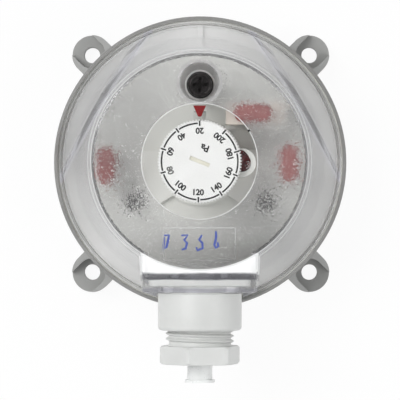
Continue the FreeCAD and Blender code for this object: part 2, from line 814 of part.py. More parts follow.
def microswitch_leaf():
    """Spring strip below the case, hooked into it at one end."""
    low_y = leaf_mid_y - leaf_w / 2
    side = [
        V(pivot_x - leaf_t, low_y, pivot_z), V(pivot_x - leaf_reach, low_y, pivot_z - leaf_drop),
        V(pivot_x - leaf_reach, low_y, pivot_z - leaf_drop + leaf_t), V(pivot_x - leaf_t, low_y, pivot_z + leaf_t),
        V(pivot_x - leaf_t, low_y, case_z + leaf_hook), V(pivot_x, low_y, case_z + leaf_hook),
        V(pivot_x, low_y, pivot_z),
    ]
    return face_of(side).extrude(V(0, leaf_w, 0))


def microswitch_button():
    x = pivot_x - button_from_pivot
    low = pivot_z - leaf_slope * button_from_pivot + leaf_t + face_gap * 2
    return rod(button_r, case_z + button_len - low, (x, leaf_mid_y, low))


def calibration_screw():
    floor = trim_top_z - trim_recess_depth
    body = rod(trim_head_r, trim_head_h, (trim_x, trim_y, floor))
    shank_low = carrier_z + trim_above_plate
    body = body.fuse(rod(trim_shank_r, floor - shank_low, (trim_x, trim_y, shank_low)))
    half = trim_slot_w / 2
    head_top = floor + trim_head_h
    groove = block(-trim_head_r, trim_head_r, -half, half, head_top - trim_slot_depth, head_top)
    groove.rotate(V(0, 0, 0), V(0, 0, 1), trim_slot_turn)
    groove.translate(V(trim_x, trim_y, 0))
    return body.cut(groove).removeSplitter()


def pan_screw(head_r, head_h, shank_r, shank_len, cross_len, cross_w, cross_depth):
    """Pan head screw with a cross recess, the underside of its head at the origin."""
    crown = head_h * pan_crown
    body = rod(head_r, head_h)
    body = round_edges(body, crown, lambda edge: edge.BoundBox.ZMin > head_h - 0.01)
    body = body.fuse(rod(shank_r, shank_len, (0, 0, -shank_len)))
    for turn in (0, 90):
        tip = cross_len / 2
        low_tip = tip * recess_taper
        bit = face_of([
            V(-tip, -cross_w / 2, head_h), V(tip, -cross_w / 2, head_h),
            V(low_tip, -cross_w / 2, head_h - cross_depth), V(-low_tip, -cross_w / 2, head_h - cross_depth),
        ]).extrude(V(0, cross_w, 0))
        bit.rotate(V(0, 0, 0), V(0, 0, 1), turn)
        body = body.cut(bit)
    return body.removeSplitter()


def carrier_screws():
    screws = []
    for side in (-1, 1):
        screw = pan_screw(
            carrier_head_r, carrier_head_h, carrier_screw_r, carrier_screw_len,
            carrier_recess_len, carrier_recess_w, carrier_recess_depth,
        )
        screw.translate(V(side * carrier_screw_x, carrier_screw_y, carrier_z))
        screws.append(screw)
    return Part.makeCompound(screws)


def blade(centre, low, length, turn):
    """Push-on blade with a pointed end."""
    half = blade_w / 2
    point = half - blade_point_in
    top = low + length
    face = face_of([
        V(-half, 0, low), V(half, 0, low), V(half, 0, top - blade_point_h), V(point, 0, top),
        V(-point, 0, top), V(-half, 0, top - blade_point_h),
    ])
    body = face.extrude(V(0, blade_t, 0))
    body.translate(V(0, -blade_t / 2, 0))
    body.rotate(V(0, 0, 0), V(0, 0, 1), turn)
    body.translate(V(centre[0], centre[1], 0))
    return body


def terminal_cap(centre, low, height, turn, blade_top):
    """Red insulating cap over a blade."""
    body = rounded_bar(cap_len, cap_w, height, (0, 0, low))
    body = round_edges(body, cap_round, lambda edge: edge.BoundBox.ZMin > low + height - 0.01)
    hole = block(
        -blade_w / 2 - blade_gap, blade_w / 2 + blade_gap,
        -blade_t / 2 - blade_gap, blade_t / 2 + blade_gap, low, blade_top + blade_gap,
    )
    body = body.cut(hole)
    body.rotate(V(0, 0, 0), V(0, 0, 1), turn)
    body.translate(V(centre[0], centre[1], 0))
    return body


def terminals():
    """Three blades and their caps, by name."""
    low = carrier_z + blade_above_plate
    top_low = case_z + case_h - blade_sink
    upper = (case_blade_x(), leaf_mid_y)
    cap_low = carrier_z + post_h + face_gap
    pieces = {
        "terminal_blade_left": blade(left_post, low, blade_len, 90),
        "terminal_blade_right": blade(right_post, low, blade_len, 90),
        "terminal_blade_upper": blade(upper, top_low, blade_top_len, 0),
        "terminal_cap_left": terminal_cap(left_post, cap_low, cap_h, 90, low + blade_len),
        "terminal_cap_right": terminal_cap(right_post, cap_low, cap_h, 90, low + blade_len),
    }
    cap_low = case_z + case_h + face_gap
    pieces["terminal_cap_upper"] = terminal_cap(upper, cap_low, cap_top_h, 0, top_low + blade_top_len)
    return pieces


def gasket():
    low = ledge_z - gasket_groove
    return tube(gasket_r + gasket_w / 2, gasket_r - gasket_w / 2, cover_seat_z - face_gap - low, (0, 0, low))


def cone_r(z):
    """Outer radius of the cover's flank at a height."""
    foot = flange_top_z + skirt_h
    slope = (skirt_r - disc_r) / (cover_top_z - foot)
    return skirt_r - slope * (z - foot)


def cover_outside():
    edge_r = flange_r - flange_edge
    body = turned([
        (0, cover_seat_z), (edge_r, cover_seat_z), (flange_r, cover_seat_z + flange_edge),
        (flange_r, flange_top_z - flange_edge), (edge_r, flange_top_z),
        (skirt_r, flange_top_z), (skirt_r, flange_top_z + skirt_h), (disc_r, cover_top_z), (0, cover_top_z),
    ])
    return round_edges(body, disc_round, lambda edge: edge.BoundBox.ZMin > cover_top_z - 0.01 and edge.Closed)


def cover_inside():
    foot = flange_top_z + skirt_h
    low = cover_seat_z - past
    return turned([
        (0, low), (skirt_r - cover_wall, low), (skirt_r - cover_wall, foot),
        (cone_r(ceiling_z) - cover_wall, ceiling_z), (0, ceiling_z),
    ])


def saddle_sizes():
    """Half width inside, roof underside and outer face of the box over the gland."""
    return plate_half_w + easy_gap, gland_z + plate_over_axis + easy_gap, plate_out_y + easy_gap + saddle_wall_t


def chord_rib():
    """Upright rib across the cover's corner, square to +X, wider at one end."""
    half = chord_len / 2
    plan = face_of([
        V(chord_off, -half, flange_top_z), V(chord_off + chord_narrow_t, -half, flange_top_z),
        V(chord_off + chord_wide_t, half, flange_top_z), V(chord_off, half, flange_top_z),
    ])
    return plan.extrude(V(0, 0, cover_top_z - flange_top_z))


def cover_ribs(envelope):
    right = chord_rib()
    left = right.mirror(V(0, 0, 0), V(1, 0, 0))
    right.rotate(V(0, 0, 0), V(0, 0, 1), chord_turn)
    left.rotate(V(0, 0, 0), V(0, 0, 1), -chord_turn)
    return right.fuse(left).common(envelope)


def well_inside():
    """Tapered room for the cover screw, with the hole in its floor."""
    height = cover_top_z - well_floor_z
    room = Part.makeCone(well_floor_r, well_top_r, height, V(0, pillar_y, well_floor_z))
    return room.fuse(rod(well_hole_r, well_floor_t, (0, pillar_y, well_low_z)))


def cover_well():
    """Screw well of the cover: a tapered cup from its ceiling down to the pillar."""
    height = cover_top_z - well_low_z
    cup = Part.makeCone(well_floor_r + well_wall, well_top_r + well_wall, height, V(0, pillar_y, well_low_z))
    below = rod(rim_r, ceiling_z - face_gap - well_low_z, (0, 0, well_low_z))
    return cup.common(below).cut(well_inside()).removeSplitter()


def gland_notch(radius, y_near, y_far, low):
    """Room for a round piece on the gland's axis, open downwards."""
    span = y_far - y_near
    arch = rod(radius, span, (0, -y_near, gland_z), (0, -1, 0))
    return arch.fuse(block(-radius, radius, -y_far, -y_near, low, gland_z))


def raised_panel():
    thick = panel_rise + panel_root
    frame = block(-panel_w / 2, panel_w / 2, panel_y - panel_h / 2, panel_y + panel_h / 2, 0, thick)
    frame = round_edges(frame, panel_round, lambda edge: edge.Vertexes[0].Z != edge.Vertexes[1].Z)
    half_w = panel_w / 2 - panel_line
    half_h = panel_h / 2 - panel_line
    hole = block(-half_w, half_w, panel_y - half_h, panel_y + half_h, 0, thick)
    frame = frame.cut(hole)
    frame.translate(V(0, 0, cover_top_z - panel_root))
    return frame


def cover():
    inside_w, roof_z, outer_y = saddle_sizes()
    envelope = cover_outside()
    outside_w = inside_w + saddle_wall_t
    inner_y = outer_y - saddle_depth
    box = block(-outside_w, outside_w, -outer_y, -inner_y, cover_seat_z, roof_z + saddle_roof_t)
    box = round_edges(
        box, saddle_round, lambda edge: edge.BoundBox.ZMax > roof_z or edge.BoundBox.YMax < -outer_y + 0.01,
    )
    room = block(-inside_w, inside_w, -plate_out_y - easy_gap, -inner_y, cover_seat_z - past, roof_z)
    body = envelope.fuse(box).cut(cover_inside().fuse(room))
    low = slot_top_z + easy_gap
    lip = block(-inside_w, inside_w, -gland_plate_y + easy_gap, -gland_plate_y + easy_gap + lip_t, low, roof_z)
    lip = lip.cut(gland_notch(neck_r - lip_arch_in, 0, outer_y, 0))
    body = body.fuse(lip)
    body = body.fuse(cover_ribs(envelope.cut(cover_seat_block())))
    body = body.cut(well_inside())
    body = body.cut(gland_notch(neck_r + easy_gap, plate_out_y, outer_y, 0))
    body = body.cut(gland_notch(sleeve_r + easy_gap, outer_y, mouth_y, 0))
    gap_w = sleeve_r + lip_over_sleeve + easy_gap
    body = body.cut(block(-gap_w, gap_w, -rim_r, -gland_plate_y, 0, low))
    body = body.cut(rod(window_r, window_depth, (0, 0, cover_top_z - window_depth)))
    body = body.fuse(raised_panel())
    return body.removeSplitter()


def cover_seat_block():
    """Space under the flank that the ribs stay out of."""
    return rod(rim_r, flange_top_z - cover_seat_z, (0, 0, cover_seat_z))


def cover_screw():
    body = pan_screw(
        screw_head_r, screw_head_h, screw_r, screw_len, recess_len, recess_w, recess_depth,
    )
    body.translate(V(0, pillar_y, screw_head_z))
    return body


def cover_screw_washer():
    return tube(screw_washer_r, screw_r + running_gap, screw_washer_t, (0, pillar_y, well_floor_z))


def gland_body():
    """Plate, neck, threaded sleeve and inner collar in one moulding."""
    plate = block(
        -plate_half_w, plate_half_w, -plate_out_y, -gland_plate_y,
        deck_z + easy_gap, gland_z + plate_over_axis,
    )
    plate = round_edges(plate, plate_corner_r, lambda edge: edge.BoundBox.YLength > gland_plate_t - 0.01)
    sleeve = rod(sleeve_r, sleeve_len, out_y(sleeve_y), (0, -1, 0))
    sleeve = round_edges(sleeve, sleeve_round, lambda edge: edge.BoundBox.YMax < -mouth_y + 0.01)
    neck = rod(neck_r, neck_len + sink, out_y(plate_out_y), (0, -1, 0))
    collar = rod(inner_collar_r, inner_collar_len + sink, out_y(gland_plate_y - inner_collar_len), (0, -1, 0))
    collar = round_edges(collar, collar_round, lambda edge: edge.BoundBox.YMin > -gland_plate_y + inner_collar_len - 0.01)
    body = plate.fuse(sleeve).fuse(neck).fuse(collar)
    body = body.cut(rod(thread_r + running_gap, mouth_y - seal_step_y, out_y(seal_step_y), (0, -1, 0)))
    body = body.cut(rod(seal_r + face_gap, seal_step, out_y(seal_y), (0, -1, 0)))
    body = body.cut(rod(cable_bore_r, mouth_y, out_y(gland_plate_y - inner_collar_len), (0, -1, 0)))
    return body.removeSplitter()


def gland_seal():
    body = tube(seal_r, seal_bore_r, seal_len, out_y(seal_y), (0, -1, 0))
    return body


def gland_washer():
    return tube(thread_r, cable_bore_r, washer_t, out_y(washer_y), (0, -1, 0))


def gland_screw():
    """Hollow compression screw with a chamfered hexagon head."""
    corner_r = hex_flats / math.sqrt(3)
    corners = []
    for step in range(6):
        turn = math.radians(hex_turn + 60 * step)
        corners.append(V(corner_r * math.sin(turn), -hex_y, gland_z + corner_r * math.cos(turn)))
    head = face_of(corners).extrude(V(0, -hex_t, 0))
    chamfer = turned([
        (0, 0), (corner_r - hex_bevel, 0), (corner_r, hex_bevel_h), (corner_r, hex_t - hex_bevel_h),
        (corner_r - hex_bevel, hex_t), (0, hex_t),
    ])
    chamfer.rotate(V(0, 0, 0), V(1, 0, 0), 90)
    chamfer.translate(V(*out_y(hex_y)))
    head = head.common(chamfer)
    neck = rod(thread_r, thread_len + sink, out_y(screw_end_y), (0, -1, 0))
    body = head.fuse(neck)
    body = body.cut(rod(cable_bore_r, thread_len + hex_t, out_y(screw_end_y), (0, -1, 0)))
    return body.removeSplitter()


def dust_plug():
    """Hollow stopper through the rubber bush, open and flanged at its outer end."""
    inner_y = seal_y - easy_gap
    length = plug_end_y - inner_y
    body = rod(plug_r, length, out_y(inner_y), (0, -1, 0))
    body = body.fuse(rod(plug_flange_r, plug_flange_t, out_y(plug_end_y - plug_flange_t), (0, -1, 0)))
    body = body.cut(rod(plug_r - plug_wall, length, out_y(inner_y + plug_bottom_t), (0, -1, 0)))
    return body.removeSplitter()


def pieces():
    made = {
        "base_housing": base_housing(),
        "housing_screws": housing_screws(),
        "switch_housing": switch_housing(),
        "diaphragm": diaphragm(),
        "diaphragm_plate": diaphragm_plate(),
        "set_spring": set_spring(),
        "spring_seat": spring_seat(),
        "dial_spindle": dial_spindle(),
        "dial_bearing": dial_bearing(),
        "pointer": pointer(),
        "dial": dial(),
        "switch_carrier": switch_carrier(),
        "carrier_screws": carrier_screws(),
        "calibration_screw": calibration_screw(),
        "microswitch_case": microswitch_case(),
        "microswitch_pins": microswitch_pins(),
        "microswitch_leaf": microswitch_leaf(),
        "microswitch_button": microswitch_button(),
        "cover_gasket": gasket(),
        "cover": cover(),
        "cover_well": cover_well(),
        "cover_screw": cover_screw(),
        "cover_screw_washer": cover_screw_washer(),
        "gland_body": gland_body(),
        "gland_seal": gland_seal(),
        "gland_washer": gland_washer(),
        "gland_screw": gland_screw(),
        "dust_plug": dust_plug(),
    }
    made.update(terminals())
    return made


os.makedirs("parts", exist_ok=True)
for name, shape in pieces().items():
    shape.exportStep(os.path.join("parts", name + ".step"))
    print(name, shape.isValid(), len(shape.Solids), round(shape.Volume, 1))
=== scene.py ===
import math

import bmesh
import bpy
from mathutils import Matrix, Vector


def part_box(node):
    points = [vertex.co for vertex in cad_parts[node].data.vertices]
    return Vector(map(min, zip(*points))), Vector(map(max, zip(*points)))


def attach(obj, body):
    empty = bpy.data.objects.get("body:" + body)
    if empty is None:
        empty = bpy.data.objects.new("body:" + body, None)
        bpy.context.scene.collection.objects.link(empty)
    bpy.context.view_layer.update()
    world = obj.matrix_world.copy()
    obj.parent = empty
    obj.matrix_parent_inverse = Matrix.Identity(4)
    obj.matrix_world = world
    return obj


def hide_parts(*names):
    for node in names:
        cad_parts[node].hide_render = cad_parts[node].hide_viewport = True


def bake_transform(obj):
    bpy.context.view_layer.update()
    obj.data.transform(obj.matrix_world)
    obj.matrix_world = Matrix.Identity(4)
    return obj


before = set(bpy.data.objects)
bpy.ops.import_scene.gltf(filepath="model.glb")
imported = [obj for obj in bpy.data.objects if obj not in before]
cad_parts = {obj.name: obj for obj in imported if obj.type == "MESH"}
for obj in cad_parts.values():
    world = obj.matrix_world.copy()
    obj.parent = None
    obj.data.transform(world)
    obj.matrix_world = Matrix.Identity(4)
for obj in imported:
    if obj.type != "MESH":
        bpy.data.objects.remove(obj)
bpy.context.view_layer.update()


# Lower housing: a round grey cup of glass-filled polyamide with the lower pressure chamber,
# one hose stub and four lugs, moulded in one piece. Its skin has the mould's fine spark texture.
MM = 0.001


def add_node(tree, kind, inputs=None, **settings):
    made = tree.nodes.new("ShaderNode" + kind)
    for key, value in settings.items():
        setattr(made, key, value)
    for key, value in (inputs or {}).items():
        made.inputs[key].default_value = value
    return made


def start_material(name):
    """A new material, its node tree, its shader and the piece's own coordinates."""
    material = bpy.data.materials.new(name)
    material.use_nodes = True
    tree = material.node_tree
    shader = tree.nodes["Principled BSDF"]
    place = add_node(tree, "TexCoord").outputs["Object"]
    return material, tree, shader, place


def noise_of(tree, place, size_mm, detail=2.0, stretch=(1.0, 1.0, 1.0)):
    """Noise whose lumps are about that big; a stretch over 1 draws them out along that axis."""
    spread = [1.0 / part for part in stretch]
    laid = add_node(tree, "Mapping", {"Scale": spread})
    tree.links.new(place, laid.inputs["Vector"])
    noise = add_node(tree, "TexNoise", {"Scale": 1.0 / (size_mm * MM), "Detail": detail})
    tree.links.new(laid.outputs["Vector"], noise.inputs["Vector"])
    return noise.outputs["Fac"]


def ramp_of(tree, factor, stops):
    """A soft run through those colours; each stop is a position, red, green, blue and alpha."""
    ramp = add_node(tree, "ValToRGB")
    for stop in stops[1:-1]:
        ramp.color_ramp.elements.new(stop[0])
    for made, stop in zip(ramp.color_ramp.elements, stops):
        made.position = stop[0]
        made.color = stop[1:]
    tree.links.new(factor, ramp.inputs["Fac"])
    return ramp.outputs


def shade_between(tree, factor, low, high, narrow=0.32, wide=0.68):
    return ramp_of(tree, factor, ((narrow, *low, 1.0), (wide, *high, 1.0)))["Color"]


def value_between(tree, factor, low, high, start=0.3, end=0.7):
    span = add_node(tree, "MapRange", {
        "From Min": start, "From Max": end, "To Min": low, "To Max": high,
    })
    tree.links.new(factor, span.inputs["Value"])
    return span.outputs["Result"]


def relief(tree, shader, height, depth_mm, edge_mm=0.0):
    """Bump of that depth, on edges that look rounded by edge_mm."""
    bump = add_node(tree, "Bump", {"Strength": 1.0, "Distance": depth_mm * MM})
    tree.links.new(height, bump.inputs["Height"])
    if edge_mm:
        edge = add_node(tree, "Bevel", {"Radius": edge_mm * MM}, samples=4)
        tree.links.new(edge.outputs["Normal"], bump.inputs["Normal"])
    tree.links.new(bump.outputs["Normal"], shader.inputs["Normal"])
    return bump.outputs["Normal"]


def moulded_plastic(name, low, high, gloss, texture_mm, depth_mm, cloud_mm=14.0, edge_mm=0.25):
    """Opaque moulded plastic: faintly clouded colour, uneven gloss and a textured skin."""
    material, tree, shader, place = start_material(name)
    clouds = noise_of(tree, place, cloud_mm, 4.0)
    skin = noise_of(tree, place, texture_mm, 3.0)
    tree.links.new(shade_between(tree, clouds, low, high), shader.inputs["Base Color"])
    roughness = value_between(tree, skin, gloss - 0.07, gloss + 0.07)
    tree.links.new(roughness, shader.inputs["Roughness"])
    relief(tree, shader, skin, depth_mm, edge_mm)
    return material


def finish_nodes(material, *names):
    for name in names:
        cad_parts[name].data.materials[0] = material


housing_grey = moulded_plastic(
    "housing_grey", (0.32, 0.32, 0.312), (0.37, 0.37, 0.36), 0.46, 0.45, 0.012, cloud_mm=18.0,
)
finish_nodes(housing_grey, "base_housing")


# Housing screws: four zinc-plated steel screws from the back that clamp the two housings on
# the diaphragm's bead, their heads sunk below the mounting plane.
def metal(
    name, low, high, gloss, wear_mm, depth_mm, drawn=(1.0, 1.0, 1.0), metallic=1.0, edge_mm=0.0,
):
    """Plated or bare metal with cloudy plating and fine tool marks."""
    material, tree, shader, place = start_material(name)
    shader.inputs["Metallic"].default_value = metallic
    plating = noise_of(tree, place, wear_mm, 5.0)
    marks = noise_of(tree, place, 0.25, 2.0, drawn)
    tree.links.new(shade_between(tree, plating, low, high), shader.inputs["Base Color"])
    roughness = value_between(tree, marks, gloss - 0.08, gloss + 0.1)
    tree.links.new(roughness, shader.inputs["Roughness"])
    relief(tree, shader, marks, depth_mm, edge_mm)
    return material


zinc_steel = metal("zinc_steel", (0.55, 0.55, 0.54), (0.68, 0.68, 0.66), 0.32, 3.0, 0.003)
finish_nodes(zinc_steel, "housing_screws")


# Diaphragm: a thin sheet of white silicone rubber with a clamped bead and one rolled ring.
# It is dusted with talc, so it is matt and slightly cloudy.
def rubber(name, low, high, gloss, dust_mm):
    material, tree, shader, place = start_material(name)
    dust = noise_of(tree, place, dust_mm, 6.0)
    skin = noise_of(tree, place, 0.5, 3.0)
    tree.links.new(shade_between(tree, dust, low, high), shader.inputs["Base Color"])
    tree.links.new(value_between(tree, dust, gloss - 0.1, gloss + 0.08), shader.inputs["Roughness"])
    relief(tree, shader, skin, 0.01)
    return material


white_rubber = rubber("white_rubber", (0.62, 0.62, 0.59), (0.72, 0.72, 0.69), 0.72, 5.0)
finish_nodes(white_rubber, "diaphragm")


# Diaphragm plate: a light acetal plate with radial ribs, a spigot for the set spring and the
# pin that pushes the microswitch's leaf. It rests on the diaphragm and isn't fastened.
light_acetal = moulded_plastic(
    "light_acetal", (0.64, 0.64, 0.61), (0.72, 0.72, 0.69), 0.42, 0.6, 0.008, cloud_mm=9.0,
)
finish_nodes(light_acetal, "diaphragm_plate")


# Upper housing: the middle part with the rim, the deck, the second hose stub, the spring
# tower and the pillar of the cover screw. It is grey polyamide too. Its wiring chamber is made
# paler as painted light, up to the lip round the cover, and its rim outside is darker as painted
# shade.
def linked(tree, made, values):
    """The outputs of a node whose first inputs get these sockets or plain values."""
    for socket, value in zip(made.inputs, values):
        if isinstance(value, bpy.types.NodeSocket):
            tree.links.new(value, socket)
        else:
            socket.default_value = value
    return made.outputs


def tree_math(tree, operation, *values):
    return linked(tree, add_node(tree, "Math", operation=operation), values)["Value"]


def tree_vector(tree, operation, *values):
    made = linked(tree, add_node(tree, "VectorMath", operation=operation), values)
    return made["Value" if operation == "LENGTH" else "Vector"]


def axes_of(tree, vector):
    return linked(tree, add_node(tree, "SeparateXYZ"), (vector,))


def distance_from_axis(tree, place):
    return tree_vector(tree, "LENGTH", tree_vector(tree, "MULTIPLY", place, (1.0, 1.0, 0.0)))


def laid_over(tree, factor, under, over):
    """One colour over another, each a socket or a plain colour."""
    return linked(tree, add_node(tree, "MixRGB"), (factor, under, over))["Color"]


def value_over(tree, value, start_mm, width_mm, low=0.0, high=1.0):
    """Goes from low to high while the value goes from the start through that width."""
    return value_between(tree, value, low, high, start_mm * MM, (start_mm + width_mm) * MM)


chamber_wall_r = 40.0
lip_r = 41.45
chamber_low_z = 26.0
painted_light_edge = 0.1
housing_light, tree, shader, place = start_material("housing_light")
clouds = noise_of(tree, place, 16.0, 4.0)
skin = noise_of(tree, place, 0.45, 3.0)
# Painted light in the chamber and painted shade on the rim, split at the lip round the cover.
painted_light_chamber = shade_between(tree, clouds, (0.61, 0.61, 0.58), (0.69, 0.69, 0.66))
painted_shade_rim = shade_between(tree, clouds, (0.215, 0.212, 0.205), (0.27, 0.268, 0.26))
wall_and_lip = (chamber_wall_r * MM, lip_r * MM)
painted_light_end = value_over(tree, axes_of(tree, place)["Z"], chamber_low_z, painted_light_edge, *wall_and_lip)
past_painted_light = tree_math(tree, "GREATER_THAN", distance_from_axis(tree, place), painted_light_end)
tree.links.new(laid_over(tree, past_painted_light, painted_light_chamber, painted_shade_rim), shader.inputs["Base Color"])
tree.links.new(value_between(tree, skin, 0.37, 0.51), shader.inputs["Roughness"])
relief(tree, shader, skin, 0.012, 0.25)
finish_nodes(housing_light, "switch_housing")


# Range spring and its seat: a music wire spring with closed ends between the plate and a brass
# nut, which the brass spindle moves up and down in the tower. The spring is made in two halves.
def mesh_piece(name, points, faces, smooth_below=40.0):
    """A piece from points in millimetres, its faces turned outwards."""
    mesh = bpy.data.meshes.new(name)
    mesh.from_pydata([Vector(point) * MM for point in points], [], faces)
    work = bmesh.new()
    work.from_mesh(mesh)
    bmesh.ops.recalc_face_normals(work, faces=work.faces)
    work.to_mesh(mesh)
    work.free()
    mesh.shade_smooth()
    mesh.set_sharp_from_angle(angle=math.radians(smooth_below))
    piece = bpy.data.objects.new(name, mesh)
    bpy.context.scene.collection.objects.link(piece)
    return piece


def ring_faces(ring_count, around, closed):
    """Faces between rings of points; the last ring joins the first, or both ends get a cap."""
    faces = []
    for ring in range(ring_count if closed else ring_count - 1):
        here = ring * around
        there = (ring + 1) % ring_count * around
        for step in range(around):
            after = (step + 1) % around
            faces.append((here + step, here + after, there + after, there + step))
    if not closed:
        faces.append(tuple(range(around)))
        faces.append(tuple(range((ring_count - 1) * around, ring_count * around)))
    return faces


def in_mm(node):
    low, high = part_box(node)
    return [value / MM for value in low], [value / MM for value in high]


coil_low_z, coil_high_z = (corner[2] for corner in in_mm("set_spring"))
coil_r = 4.6
wire_r = 0.5
wire_sides = 12
coil_turns = 7
steps_a_turn = 48
flat_rise = 1.05
open_rise = (coil_high_z - coil_low_z - 2 * wire_r - 2 * flat_rise) / (coil_turns - 2)


def spring_part(name, first_turn, last_turn):
    """The wire of the spring between two of its turns, counted from below."""
    points = []
    steps = int(steps_a_turn * (last_turn - first_turn))
    for step in range(steps + 1):
        turns = first_turn + step / steps_a_turn
        flat = min(turns, 1.0) + max(0.0, turns - coil_turns + 1)
        middle_z = coil_low_z + wire_r + flat * flat_rise + (turns - flat) * open_rise
        angle = 2 * math.pi * turns
        for corner in range(wire_sides):
            lean = 2 * math.pi * corner / wire_sides
            across = coil_r + wire_r * math.cos(lean)
            height = middle_z + wire_r * math.sin(lean)
            points.append((across * math.cos(angle), across * math.sin(angle), height))
    return mesh_piece(name, points, ring_faces(steps + 1, wire_sides, False))


spring_wire = metal(
    "spring_wire", (0.42, 0.42, 0.41), (0.58, 0.57, 0.55), 0.26, 1.5, 0.002, drawn=(3.0, 3.0, 1.0),
)
turned_brass = metal(
    "turned_brass", (0.66, 0.47, 0.20), (0.80, 0.60, 0.29), 0.28, 2.5, 0.003, drawn=(4.0, 4.0, 0.5),
)
spring_lower = spring_part("spring_lower_half", 0.0, coil_turns / 2)
spring_upper = spring_part("spring_upper_half", coil_turns / 2, coil_turns)
for piece in (spring_lower, spring_upper):
    piece.data.materials.append(spring_wire)
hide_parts("set_spring")
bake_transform(spring_lower)
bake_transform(spring_upper)
finish_nodes(turned_brass, "spring_seat", "dial_spindle")


# Bearing cap: a light acetal cap pressed into the top of the tower. It carries the spindle,
# and two pips in it place the pointer.
finish_nodes(light_acetal, "dial_bearing")


# Switch carrier: a light plate on the deck with both blade posts, the cheeks that hold the
# microswitch and the round boss of the factory screw. Two dark screws hold it.
carrier_plastic = moulded_plastic(
    "carrier_plastic", (0.67, 0.67, 0.64), (0.74, 0.74, 0.71), 0.42, 0.5, 0.008, cloud_mm=11.0,
)
black_zinc = metal(
    "black_zinc", (0.05, 0.046, 0.046), (0.09, 0.085, 0.085), 0.2, 1.6, 0.002,
    metallic=0.85, edge_mm=0.12,
)
finish_nodes(carrier_plastic, "switch_carrier")
finish_nodes(black_zinc, "carrier_screws")


# Factory screw and its lacquer: the factory sets this screw in its boss, then seals it with a
# drop of dark red lacquer, which has run over the boss on the far side and shrunk as it dried.
def middle(node):
    low, high = in_mm(node)
    return [(a + b) / 2 for a, b in zip(low, high)]


boss_x, boss_y, _ = middle("calibration_screw")
screw_top_z = in_mm("calibration_screw")[1][2]
boss_recess_r = 2.55
boss_top_z = screw_top_z + 1.0
lacquer_around = 96
lacquer_shares = (0.02, 0.15, 0.3, 0.45, 0.6, 0.72, 0.82, 0.9, 0.96, 1.0)
run_turn = math.radians(100)
run_reach = 0.95
run_waves = 0.12
dish_depth = 0.45
swirl_h = 0.06
over_boss = 0.12
below_boss = 0.25
rounded_rim = 0.08
foot_r = boss_recess_r - 0.1
foot_z = screw_top_z - 0.2
lacquer_points = []
for share in lacquer_shares:
    for step in range(lacquer_around):
        turn = 2 * math.pi * step / lacquer_around
        run = max(0.0, math.cos(turn - run_turn)) ** 3
        reach = boss_recess_r + run_reach * run + run_waves * run * math.sin(5 * turn)
        radius = share * reach
        sink = dish_depth * math.cos(min(1.0, radius / boss_recess_r) * math.pi / 2) ** 0.7
        swirl = swirl_h * math.sin(3 * turn + 4 * share) * share
        over = over_boss if radius > boss_recess_r else -below_boss * (1.0 - run)
        height = boss_top_z + over - sink + swirl - rounded_rim * share ** 8
        x = boss_x + radius * math.cos(turn)
        y = boss_y + radius * math.sin(turn)
        lacquer_points.append((x, y, height))
for step in range(lacquer_around):
    turn = 2 * math.pi * step / lacquer_around
    x = boss_x + foot_r * math.cos(turn)
    y = boss_y + foot_r * math.sin(turn)
    lacquer_points.append((x, y, foot_z))
lacquer_faces = ring_faces(len(lacquer_shares) + 1, lacquer_around, False)
lacquer = mesh_piece("sealing_lacquer", lacquer_points, lacquer_faces, 70.0)
lacquer_red, tree, shader, place = start_material("lacquer_red")
run_mix = noise_of(tree, place, 0.9, 4.0)
dark_red = shade_between(tree, run_mix, (0.02, 0.001, 0.002), (0.13, 0.003, 0.006))
tree.links.new(dark_red, shader.inputs["Base Color"])
shader.inputs["Roughness"].default_value = 0.12
relief(tree, shader, run_mix, 0.08)
lacquer.data.materials.append(lacquer_red)
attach(lacquer, "housing")
finish_nodes(black_zinc, "calibration_screw")


# Microswitch: a cream phenolic case on two steel pins between the cheeks, with a spring
# steel leaf under it and a red plunger that the leaf presses.
cream_case = moulded_plastic(
    "cream_case", (0.66, 0.60, 0.54), (0.74, 0.68, 0.61), 0.4, 0.4, 0.008, cloud_mm=6.0,
)
plunger_red = moulded_plastic(
    "plunger_red", (0.34, 0.02, 0.025), (0.42, 0.03, 0.035), 0.35, 0.4, 0.004, cloud_mm=3.0,
)
leaf_steel = metal(
    "leaf_steel", (0.5, 0.5, 0.49), (0.66, 0.65, 0.63), 0.22, 2.0, 0.002, drawn=(6.0, 1.0, 1.0),
)
finish_nodes(cream_case, "microswitch_case")
finish_nodes(plunger_red, "microswitch_button")
finish_nodes(zinc_steel, "microswitch_pins")
finish_nodes(leaf_steel, "microswitch_leaf")


# Terminals: three tinned brass blades for push-on connectors, each under a red insulating cap
# of soft plastic, which is slid over the blade once the wire is on.
tinned_brass = metal(
    "tinned_brass", (0.56, 0.50, 0.36), (0.72, 0.68, 0.56), 0.3, 2.0, 0.003, drawn=(1.0, 1.0, 5.0),
)
cap_red = moulded_plastic(
    "cap_red", (0.24, 0.012, 0.009), (0.31, 0.02, 0.014), 0.36, 0.5, 0.01, cloud_mm=4.0,
)
finish_nodes(tinned_brass, "terminal_blade_left", "terminal_blade_right", "terminal_blade_upper")
finish_nodes(cap_red, "terminal_cap_left", "terminal_cap_right", "terminal_cap_upper")


# Pointer: a light moulding on the bearing cap, with an arm and a post that bring its wedge up
# level with the dial's face. Only the wedge is stamped with red foil.
def together(tree, first, *others):
    """One only where all of these masks are one."""
    for other in others:
        first = tree_math(tree, "MULTIPLY", first, other)
    return first


